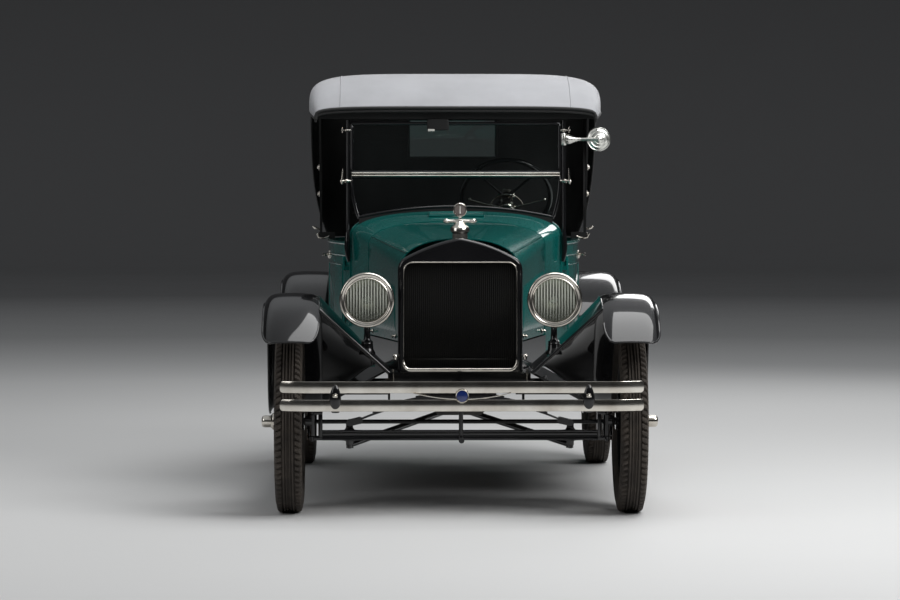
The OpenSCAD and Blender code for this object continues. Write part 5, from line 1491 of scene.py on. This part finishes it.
def badgeRim():
    # the turned rim, the strap behind it, and a wire that rises with the square of the way out
    rim = revolve([(24, 0), (26.5, 0), (27.5, 2), (27.5, 7), (26, 9.5), (23.5, 8.5), (23.5, 6), (24, 0)],
                  badge["centre"], (0, -1, 0), 48)
    back = bar((-8, -498, 486), (8, -486, 546))
    x = np.linspace(-badge["wireHalf"], badge["wireHalf"], 31)
    wire = tube(sideBySide(x, -500.0, 503 + 25 * (x / badge["wireHalf"]) ** 2), 2.2, 8)
    return joined([rim, back, wire])


def badgeFace():
    # a dome whose height falls with the square of the radius
    rad = np.array([24.0, 20, 14, 7, 0])
    dome = list(zip(rad, 6 + 2.6 * (1 - (rad / badge["radius"]) ** 2)))
    return revolve(dome + [(0, 3), (24, 3), (24, 6)], badge["centre"], (0, -1, 0), 48)


brightPiece("badgeRim", badgeRim())
addPiece("badgeFace", badgeFace(), badgeBlue, "chassis")
print("bumper made")

# windshield: round-edged frames on the lean of the posts, with turned clamps and a gasket on the cowl
screen = {"y": 985.0, "base": 1200.0, "lean": math.radians(6.0), "half": 470.0, "tuck": 31.0, "bow": 55.0,
          "split": 206.3, "high": 442.5, "bar": 8.0, "postX": 480.0, "tubeR": 7.6}


def onScreen(x, h, d=0.0):
    # a place in the plane of the glass: across, up the slope and out of the plane
    s = screen
    x, h, d = np.broadcast_arrays(np.asarray(x, float), np.asarray(h, float), np.asarray(d, float))
    y = s["y"] + d * math.cos(s["lean"]) + h * math.sin(s["lean"])
    z = s["base"] - d * math.sin(s["lean"]) + h * math.cos(s["lean"])
    return sideBySide(x, y, z)


def screenBow(x):
    # the lower rail follows the cowl: a parabola, highest in the middle
    return screen["bow"] * (1 - (x / screen["half"]) ** 2)


def screenFrames():
    # one closed tube round each pane, and on each side a straight post with a flared foot
    s = screen
    t = s["bar"]
    u = np.linspace(0, 1, 16)
    footH = float(screenBow(s["half"] - s["tuck"]))
    sideX = s["half"] - t - s["tuck"] * u ** 2
    sideH = (s["split"] - 2 - t) * (1 - u) + (footH + t) * u
    lowX = np.linspace(s["half"] - t - s["tuck"], -(s["half"] - t - s["tuck"]), 60)[1:-1]
    acrossX = np.linspace(-(s["half"] - t), s["half"] - t, 24)[1:-1]
    lower = np.concatenate([onScreen(sideX, sideH), onScreen(lowX, screenBow(lowX) + t),
                            onScreen(-sideX[::-1], sideH[::-1]), onScreen(acrossX, s["split"] - 2 - t)])
    x, low, high = s["half"] - t, s["split"] + 2 + t, s["high"] - t
    line = loopThrough([(x, low), (x, high), (-x, high), (-x, low)], 20)
    upper = onScreen(line[:, 0], line[:, 1])
    posts = []
    for side in (1, -1):
        posts.append(tube(onScreen(side * s["postX"], np.linspace(-92, 449, 30)), 8.0, 14))
        foot = [(480, 976, 1150), (481, 974, 1112), (482, 972, 1080), (480, 968, 1050), (474, 962, 1020)]
        posts.append(tube(np.array(foot) * [side, 1, 1], [10, 13, 13, 11, 7], 14))
    return joined([tube(lower, s["tubeR"], 14, True), tube(upper, s["tubeR"], 14, True)] + posts)


def screenClamps():
    # on each side a thumb screw near the top, and at the division a turned knob with a tapered lever
    parts = []
    barrel = [(0, 30), (3, 29), (4, 25), (3, 20), (3, 12), (6, 9), (6.5, 0), (5, -14), (0, -15)]
    knob = [(0, 34), (5, 33), (8, 28), (8, 23), (5, 19), (5, 14), (9, 10), (9.5, 2), (6, -4), (6, -16),
            (0, -17)]
    for side in (1, -1):
        high, low = [onScreen(side * screen["postX"], h) for h in (405.0, 178.0)]
        parts.append(revolve(barrel, high + np.array([0, -5, 0]), (side, 0, 0), 24))
        thumb = np.array([[side * 24, -5, -12], [side * 24, -6, 0], [side * 24, -5, 12]])
        parts.append(tube(high + thumb, [1.5, 3.4, 1.5], 10))
        parts.append(revolve(knob, low + np.array([0, -6, 0]), (side, 0, 0), 28))
        up = np.linspace(-14, 58, 12)
        lever = low + sideBySide(side * (25 - 0.06 * up), -8, up)
        parts.append(tube(lever, np.interp(up, [-14, -8, 0, 20, 58], [2.5, 5.5, 6, 4.5, 1.2]), 12))
    return joined(parts)


def screenStripHighlight():
    # a bright strip with two ridges over the joint of the panes; partly a painted highlight, its two nickel
    # ridges stand for the glinting edges of the two panes
    s = screen
    x = np.linspace(8 - s["half"], s["half"] - 8, 40)
    return joined([tube(onScreen(x, s["split"] + shift, -7.5), 4.2, 10) for shift in (-5.5, 5.5)])


def screenGasket():
    # a soft strip that fills the space between the lower rail and the crown of the cowl
    x = np.linspace(-430, 430, 60)
    rail = onScreen(x, screenBow(x) + 2)
    ground = sideBySide(x, rail[:, 1], cowlTopZ(x, np.full_like(x, screen["y"])) - 3)
    front = betweenRings(rail, ground, 5) - np.array([0, 6, 0])
    return sheetBetween(front, front + np.array([0, 12, 0]))


blackPiece("screenFrames", screenFrames(), ["windshield_frame"])
brightPiece("screenClamps", screenClamps())
brightPiece("screenStripHighlight", screenStripHighlight())
addPiece("screenGasket", screenGasket(), satinBlack, "chassis")

# mirrors: one inside over the screen, and a round one on an arm outside
mirror = {"centre": (636, 1023, 1563), "armX": 490.0, "clipH": 365.0}
viewMirror = joined([roundedBox((-128, 1006, 1602), (-30, 1026, 1652), 8.0),
                     tube([(-79, 1030, 1650), (-79, 1038, 1662), (-79, 1044, 1668)], 5.0, 10)])
addPiece("viewMirrorCase", viewMirror, satinBlack, "chassis")
# a small white mark across the lower front edge of the mirror case
addPiece("viewMirrorWhiteMark", roundedBox((-124, 1002, 1598), (-94, 1008, 1608), 8.0), dialWhite, "chassis")


def sideMirror():
    # a spun back with rings, a rolled rim, and a bar that flares at the post
    back = revolve([(0, -21), (8, -20), (12, -17), (18, -15), (20, -16.5), (23, -14.5), (33, -12),
                    (36, -13.5), (39, -11), (47, -6), (50, -7), (53, -3), (54, 3), (52, 7), (49, 8),
                    (0, 8)], mirror["centre"], (0, 1, 0), 72)
    x = np.linspace(mirror["armX"], 634, 30)
    size = 8.0 + 15.0 * np.exp(-(np.maximum(x - 496, 0) / 30) ** 2) + 2.0 * np.exp(-((x - 634) / 14) ** 2)
    arm = tube(sideBySide(x, 1023 - 16 * np.clip((x - 560) / 74, 0, 1), 1563.0), size, 18)
    clip = revolve([(0, -27), (11, -27), (13, -24), (13, 24), (11, 27), (0, 27)],
                   onScreen(screen["postX"], mirror["clipH"]), (0, 0, 1), 28)
    return joined([back, arm, clip])


addPiece("sideMirror", sideMirror(), satinNickel, "chassis", ["side_mirror"])
mirrorGlass = revolve([(0, 8.4), (48.5, 8.4), (48.5, 7.5), (0, 7.5)], mirror["centre"], (0, 1, 0), 56)
addPiece("sideMirrorGlass", mirrorGlass, mirrorSilver, "chassis")
print("windshield made")

# steering wheel and column, in the frame of the column's slope
helm = {"centre": np.array([238.0, 1450.0, 1304.0]), "slope": math.radians(35.0), "radius": 202.0}
helmAxis = np.array([0.0, math.cos(helm["slope"]), math.sin(helm["slope"])])
helmUp = np.array([0.0, -math.sin(helm["slope"]), math.cos(helm["slope"])])


def onHelm(across, up, along):
    # a place in the frame of the wheel: across, up in its plane, and along the column
    across, up, along = [v[..., None] for v in np.broadcast_arrays(across, up, along)]
    return helm["centre"] + across * np.array([1.0, 0, 0]) + up * helmUp + along * helmAxis


def helmTurned(profile, steps):
    # a profile turned about the column
    return revolve(profile, helm["centre"], helmAxis, steps)


def helmWheel():
    # a round rim and four spokes that thicken at both ends and dish towards the hub
    a = onceRound(96)
    rim = tube(onHelm(helm["radius"] * np.cos(a), helm["radius"] * np.sin(a), 0.0), 11.5, 16, True)
    parts = [rim]
    for k in range(4):
        b = math.pi / 4 + k * math.pi / 2
        r = np.linspace(24, 198, 14)
        size = 6.0 + 3.0 * np.exp(-((r - 24) / 26) ** 2) + 3.0 * np.exp(-((r - 198) / 18) ** 2)
        parts.append(tube(onHelm(r * math.cos(b), r * math.sin(b), -8 + 8 * (r / 198) ** 2), size, 12))
    return joined(parts)


def helmLevers():
    # two tapered levers with knobs, the quadrant they move on, and the round gear case
    parts = []
    for side in (1, -1):
        x = np.linspace(12, 165, 16)
        arm = onHelm(side * x, 30 * (x / 165) ** 1.5, -90 + 22 * (x / 165))
        parts.append(tube(arm, np.linspace(5.5, 4.2, 16), 10))
        knob = onHelm(side * 170.0, 32.0, -67.0)
        parts.append(revolve([(0, -9), (6, -7), (8.5, 0), (6, 7), (0, 9)], knob, (1, 0, 0), 20))
    quadrant = np.linspace(0.25, np.pi - 0.25, 30)
    parts.append(tube(onHelm(74 * np.cos(quadrant), 74 * np.sin(quadrant), -86.0), 3.5, 10))
    case = [(12, -118), (26, -117), (34, -112), (38, -102), (38.5, -92), (40, -90), (40, -84), (38.5, -82),
            (38.5, -66), (35, -55), (27, -48), (12, -46)]
    parts.append(helmTurned(case + [case[0]], 56))
    return joined(parts)


addPiece("helmWheel", helmWheel(), frameBlack, "steering_wheel", ["steering_wheel"])
helmHub = helmTurned([(0, 30), (12, 29), (24, 25), (33, 18), (38, 10), (40, 4), (36, 0), (31, -4),
                      (30, -34), (11.5, -34), (11.5, -30)], 48)
addPiece("helmHub", helmHub, nickel, "steering_wheel", ["steering_wheel"])
helmPole = helmTurned([(0, -1215), (19, -1215), (19, -120), (23, -112), (23, -60), (19, -54), (11, -52),
                       (11, 10), (0, 12)], 36)
helmFoot = bar((224, 430, 590), (300, 492, 626))
blackPiece("helmColumn", joined([helmPole, helmFoot]), ["steering_column"])
brightPiece("helmLevers", helmLevers(), ["steering_column"])
print("steering made")

# load bed: boards with skid strips on the floor, pressed panels and rolled rails on the sides and the gate
bed = {"front": 2010.0, "rear": 3420.0, "half": 542.0, "floor": 700.0, "top": 1030.0, "boards": 9,
       "boardHalf": 518.0, "railX": 566.0, "railZ": 1015.0, "panels": ((2150, 3080), (3190, 3390))}
boardEdges = np.linspace(-bed["boardHalf"], bed["boardHalf"], bed["boards"] + 1)


def bedBoards():
    # soft-edged boards side by side, each a little narrower than its share of the width
    y0, y1, z = bed["front"] + 26, bed["rear"] - 30, bed["floor"]
    return joined([roundedBox((a + 5, y0, z + 0.4), (b - 5, y1, z + 12), 12.0)
                   for a, b in zip(boardEdges[:-1], boardEdges[1:])])


def bedStrips():
    # skid strips over the joints of the boards
    y0, y1, z = bed["front"] + 24, bed["rear"] - 28, bed["floor"]
    return joined([roundedBox((x - 9, y0, z + 2), (x + 9, y1, z + 15), 5.0) for x in boardEdges[1:-1]])


def bedPanels():
    # raised frames on the outside of each wall, and a rounded rail along the top
    b = bed
    parts = []
    for side in (1, -1):
        x = side * (b["half"] + 1)
        for y0, y1 in b["panels"]:
            a = onceRound(64)
            y = (y0 + y1) / 2 + (y1 - y0) / 2 * powered(np.cos(a), 0.2)
            z = 855 + 95 * powered(np.sin(a), 0.2)
            parts.append(tube(sideBySide(x, y, z), 5.0, 8, True))
        ends = [(side * b["railX"], y, b["railZ"]) for y in (b["front"] + 3, b["rear"] - 3)]
        parts.append(tube(np.linspace(*ends, 30), 13.0, 14))
    ends = [(x, b["front"] + 10, b["top"]) for x in (-536, 536)]
    parts.append(tube(np.linspace(*ends, 30), 12.0, 14))
    return joined(parts)


def gatePanel():
    # a raised frame in the form of a superellipse, and a rounded rail along the top
    a = onceRound(80)
    x = 440 * powered(np.cos(a), 0.16)
    z = 860 + 120 * powered(np.sin(a), 0.24)
    raised = tube(sideBySide(x, bed["rear"] + 0.5, z), 6.0, 10, True)
    top = tube(np.linspace((-500, 3409, 1029), (500, 3409, 1029), 24), 11.5, 14)
    return joined([raised, top])


def gateCatches():
    # on each side a turned knob with a short lever
    parts = []
    for side in (1, -1):
        parts.append(revolve([(0, 16), (7, 15), (10, 10), (10, 4), (15, 3), (16, 0), (0, 0)],
                             (side * 470, 3420, 960), (0, 1, 0), 24))
        parts.append(tube([(side * 470, 3432, 960), (side * 488, 3430, 960), (side * 506, 3424, 958)],
                          [5, 5, 4], 10))
    return joined(parts)


addPiece("bedBoards", bedBoards(), bedWood, "chassis")
addPiece("bedStrips", bedStrips(), satinBlack, "chassis")
greenPiece("bedPanels", bedPanels())
addPiece("gatePanel", gatePanel(), bodyGreen, "tailgate")
addPiece("gateCatches", gateCatches(), satinBlack, "tailgate")


def boardRibs():
    # ribs along the running-board mat, at equal distances
    ribs = [roundedBox((x - 4, 690, 414), (x + 4, 1968, 418.5), 4.0, 16) for x in np.linspace(612, 780, 12)]
    return bothSides(joined(ribs))


addPiece("boardRibs", boardRibs(), rubber, "chassis")
boardEdging = tube(np.linspace((804, 682, 409), (804, 1976, 409), 30), 6.0, 12)
brightPiece("boardEdging", bothSides(boardEdging))
print("bed and boards made")

# seat: stuffed leather, swollen by a cloth run, then drawn in along sewn pleats
seat = {"half": 486.0, "pleat": 66.0, "depth": 11.0, "cell": 8.0, "pressure": 4.0, "frames": 20,
        "cap": 26.0, "round": 34.0}


def padBlock(outline, half):
    # the side outline carried across, with its ends drawn in on a quarter circle
    k = seat["round"]
    line = np.asarray(outline, float)
    middle = line.mean(0)
    x, inset = [], []
    for a in np.linspace(math.pi / 2, 0, 6):
        x.append(half - k + k * math.sin(a))
        inset.append(k * (1 - math.cos(a)))
    x = np.array(x + list(np.linspace(half - k, k - half, 30))[1:-1] + [-v for v in x[::-1]])
    inset = np.array(inset + [0.0] * 28 + inset[::-1])
    away = line - middle
    reach = np.linalg.norm(away, axis=1)[None]
    scale = np.clip(1 - inset[:, None] / reach, 0.05, 1)
    y, z = [middle[i] + away[None, :, i] * scale for i in (0, 1)]
    return loftRings(sideBySide(x[:, None], y, z))


def placesOf(mesh, what):
    # one row of three numbers per point of a mesh
    rows = np.empty(len(mesh.vertices) * 3)
    mesh.vertices.foreach_get(what, rows)
    return rows.reshape(-1, 3)


def swollen(name, shape, low, high):
    # voxel remesh, cloth under pressure for some frames, then the movement of each point is capped
    mesh = meshOf(name, inMetres(shape[0]), shape[1])
    outward(mesh)
    pad = inScene(name, mesh)
    bpy.context.view_layer.objects.active = pad
    remesh = pad.modifiers.new("cells", "REMESH")
    remesh.mode = "VOXEL"
    remesh.voxel_size = seat["cell"] / metre
    bpy.ops.object.modifier_apply(modifier="cells")
    before = placesOf(pad.data, "co")
    cloth = pad.modifiers.new("swell", "CLOTH")
    cloth.settings.use_pressure = True
    cloth.settings.uniform_pressure_force = seat["pressure"]
    cloth.settings.effector_weights.gravity = 0.0
    cloth.settings.quality = 4
    for step in range(1, seat["frames"] + 1):
        bpy.context.scene.frame_set(step)
    grown = pad.evaluated_get(bpy.context.evaluated_depsgraph_get())
    after = placesOf(grown.data, "co")
    pad.modifiers.remove(cloth)
    bpy.context.scene.frame_set(1)
    move = after - before
    far = np.linalg.norm(move, axis=1)[:, None]
    after = before + move * np.minimum(1, seat["cap"] / metre / np.maximum(far, 1e-9))
    return pad, np.clip(after, inMetres(low), inMetres(high))


def pleated(pad, points, facing, node):
    # rows of stitching across the width: each channel swells as the root of a sine, its seam lies low
    pad.data.vertices.foreach_set("co", points.ravel())
    pad.data.update()
    normal = placesOf(pad.data, "normal")
    share = np.clip((normal @ np.asarray(facing)) * 1.6 - 0.1, 0, 1)
    across = points[:, 0] * metre
    inside = np.clip((seat["half"] - 40 - np.abs(across)) / 30, 0, 1)
    ridge = np.sqrt(np.abs(np.sin(np.pi * across / seat["pleat"])))
    points = points - normal * ((1 - ridge) * seat["depth"] / metre * share * inside)[:, None]
    pad.data.vertices.foreach_set("co", points.ravel())
    pad.data.update()
    pad.data.materials.append(seatLeather)
    pad.data.shade_smooth()
    fine = pad.modifiers.new("fine", "SUBSURF")
    fine.levels = 1
    fine.render_levels = 1
    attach(pad, "chassis")
    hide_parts(node)


cushionLine = roundedLine([(1512, 792), (1846, 792), (1828, 884), (1560, 914), (1522, 906), (1510, 880)])
backLine = roundedLine([(1862, 796), (1936, 796), (1952, 1168), (1938, 1206), (1910, 1212), (1886, 1196),
                        (1868, 1150), (1842, 905)])
cushion, cushionPoints = swollen("seatCushion", padBlock(cushionLine, seat["half"]), (-498, 1500, 790),
                                 (498, 1850, 934))
pleated(cushion, cushionPoints, (0, -0.45, 0.9), "seat_cushion")
backrest, backPoints = swollen("seatBack", padBlock(backLine, seat["half"] - 8), (-496, 1828, 790),
                               (496, 1958, 1226))
pleated(backrest, backPoints, (0, -0.95, 0.2), "seat_back")


def seatPiping():
    # welts along the front of the cushion and the top of the back
    lines = [((-470, y, z), (470, y, z)) for y, z in ((1506, 902), (1912, 1222))]
    return joined([tube(np.linspace(*ends, 40), 4.5, 8) for ends in lines])


addPiece("seatPiping", seatPiping(), seatLeather, "chassis")
print("seat made")

# front axle: a forged I beam with yokes, kingpins, spring perches and their nuts
axle = {"kingX": 620.0, "perchX": 462.0, "beamZ": 320.5, "earLow": 299.5, "earHigh": 424.5, "eyeZ": 372.5}


def axleBeam():
    # the rounded I section carried across, a little deeper at the perches
    outline = [(-19, -21), (19, -21), (19, -12), (5, -9), (5, 9), (19, 12), (19, 21), (-19, 21), (-19, 12),
               (-5, 9), (-5, -9), (-19, -12)]
    section = roundedLine(outline, 4.0, 4)
    x = np.linspace(-576, 576, 97)
    swell = 1 + 0.12 * np.exp(-((np.abs(x) - axle["perchX"]) / 26) ** 2)
    y = np.broadcast_to(section[None, :, 0], (len(x), len(section)))
    z = axle["beamZ"] + section[None, :, 1] * np.minimum(swell, 1.12)[:, None]
    return loftRings(sideBySide(x[:, None], y, z))


def axleEnd():
    # the yoke with its two eyes and the kingpin, then the spring perch with its eye, washer, nut and stud
    k, p = axle["kingX"], axle["perchX"]
    parts = [roundedBox((k - 46, -20, axle["earLow"]), (k - 27, 20, axle["earHigh"]), 5.0)]
    for z in (axle["earLow"], axle["earHigh"] - 18):
        parts.append(revolve([(0, 0), (17, 0), (20, 3), (20, 15), (17, 18), (0, 18)], (k, 0, z), (0, 0, 1),
                             32))
        parts.append(roundedBox((k - 46, -19, z), (k, 19, z + 18), 8.0))
    parts.append(revolve([(0, -6), (8, -6), (10, -4), (10, 129), (7, 131), (0, 131)],
                         (k, 0, axle["earLow"]), (0, 0, 1), 28))
    perch = [([(0, 20), (23, 20), (20, 25), (16, 30), (15, 34), (15, 46), (0, 46)], 32),
             ([(0, -20), (20, -20), (20, -24), (0, -24)], 32),
             ([(0, -24), (17.5, -24), (17.5, -40), (15, -43), (0, -43)], 6),
             ([(0, -43), (9, -43), (9, -54), (7, -56), (0, -56)], 24)]
    for profile, steps in perch:
        parts.append(revolve(profile, (p, 0, axle["beamZ"]), (0, 0, 1), steps))
    eye = [(8, -25), (13.5, -25), (15, -23), (15, 23), (13.5, 25), (8, 25), (8, -25)]
    parts.append(revolve(eye, (p, 0, axle["eyeZ"]), (0, 1, 0), 32))
    return bothSides(joined(parts))


addPiece("axleForging", joined([axleBeam(), axleEnd()]), frameBlack, "chassis",
         ["front_axle"], smooth=35)
print("axle made")

# joints of the folding top's irons: washers and domed nuts on their outer faces, wing nuts, and a saddle
irons = {"face": 617.0, "pivot": (1745.0, 1122.0), "frontBow": (1450.0, 1704.3),
         "shares": (0.0, 0.33, 0.54)}


def ironNuts():
    # nuts at shares of the way up the iron, and bent bars round its pivot
    face = irons["face"]
    parts = []
    nut = [(0, 11), (4, 10.5), (7, 8), (8, 5), (8, 3), (13, 2.6), (14, 1), (14, 0), (0, 0)]
    for share in irons["shares"]:
        y, z = np.array(irons["pivot"]) * (1 - share) + np.array(irons["frontBow"]) * share
        parts.append(revolve(nut, (face, y, z), (1, 0, 0), 24))
    y, z = irons["pivot"]
    wing = [(7, -22, 8), (8, -10, 2), (9, 0, 0), (8, 10, 2), (7, 22, 8)]
    parts.append(tube(np.array(wing) + [face, y, z], [2.5, 4, 5, 4, 2.5], 10))
    saddle = [(-46, 4), (-38, -9), (-16, -14), (6, -10), (16, 8)]
    parts.append(tube([(face + x, y - 22, z + h) for x, h in saddle], [2.5, 4.5, 5, 4.5, 2.5], 12))
    lobes = [(1, 29), (12, 30), (24, 35), (34, 42)]
    parts.append(tube([(face + x, y - 15, z + h) for x, h in lobes], [5, 5.5, 7, 3], 12))
    return bothSides(joined(parts))


brightPiece("ironNuts", ironNuts())


# studio: a round floor that runs up into a wall on every side, pale near the object and painted darker
# towards the wall as a painted falloff of light, and soft boxes
studio = {"flat": 32.0, "turn": 6.0, "high": 20.0, "fade": 30.0}


def sweepFloor():
    # the profile is level, then a quarter circle, then upright, and is turned once round
    s = studio
    bend = np.linspace(0, np.pi / 2, 16)
    level = [(r, 0.0) for r in np.linspace(0.01, s["flat"], 12)[:-1]]
    rise = [(s["flat"] + s["turn"] * math.sin(b), s["turn"] * (1 - math.cos(b))) for b in bend]
    return revolve(level + rise + [(s["flat"] + s["turn"], s["high"])], (0, 0, 0), (0, 0, 1), 96)


def floorPaintedFalloff(p):
    # pale round the object, and darker with the distance from it towards the wall: a painted pool of light
    # round the object and painted falloff towards the wall
    tone = p.noise(1.5, 4.0)
    east, north = p.part(0), p.part(1)
    reach = (east * east + north * north) * (1 / studio["fade"] ** 2)
    # the ramp paints the light's falloff: pale near the object, darker out to the wall
    shade = reach.ramp([(0.07, (0.62, 0.62, 0.616)), (0.22, (0.34, 0.34, 0.34)),
                        (0.6, (0.15, 0.15, 0.152))])
    return {"Base Color": shade, "Roughness": tone.spread(0.6, 0.75)}


floorMesh = meshOf("studioFloor", *sweepFloor())
floorMesh.shade_smooth()
floorMesh.materials.append(newFinish("floorPaleWithPaintedFalloff", {"Specular IOR Level": 0.2}, floorPaintedFalloff))
studioFloor = inScene("studioFloor", floorMesh)


def softBox(name, place, aim, wide, deep, power):
    # an area lamp turned from its place towards a point
    light = bpy.data.lights.new(name, "AREA")
    light.shape = "RECTANGLE"
    light.size = wide
    light.size_y = deep
    light.energy = power
    holder = inScene(name, light)
    holder.location = place
    holder.rotation_euler = (Vector(aim) - Vector(place)).to_track_quat("-Z", "Y").to_euler()


softBox("keyBox", (4.6, -4.8, 5.0), (0, -0.4, 0.9), 4.0, 2.6, 250)
softBox("fillBox", (-5.4, -4.4, 3.6), (0, -0.4, 0.9), 3.0, 3.0, 55)
softBox("topBox", (1.5, -1.2, 5.6), (0, -0.8, 1.0), 4.2, 4.2, 200)
softBox("rearBox", (2.8, 6.4, 4.8), (0, 0.6, 0.9), 4.0, 2.5, 130)

# room light: dim at eye level and brighter overhead
world = bpy.data.worlds.new("studioWorld")
world.use_nodes = True
background = world.node_tree.nodes["Background"]
sky = Signal(world.node_tree, world.node_tree.nodes.new("ShaderNodeTexCoord").outputs["Generated"])
tone = sky.part(2).ramp([(0.0, (0.05, 0.05, 0.052)), (0.3, (0.09, 0.092, 0.096)),
                         (0.75, (0.42, 0.43, 0.44))])
world.node_tree.links.new(tone.socket, background.inputs["Color"])
bpy.context.scene.world = world

# camera: fitted to places of known size in the picture
view = {"place": (-0.2881, -17.0288, 1.4821), "turn": (math.pi / 2 - 0.038245, 0.0, -0.0158375),
        "lens": 149.08}
camera = bpy.data.cameras.new("photoCamera")
camera.sensor_width = 36.0
camera.lens = view["lens"]
camera.clip_end = 200.0
cameraHolder = inScene("photoCamera", camera)
cameraHolder.location = view["place"]
cameraHolder.rotation_euler = view["turn"]
bpy.context.scene.camera = cameraHolder
bpy.context.scene.view_settings.view_transform = "Standard"

print("scene ready")
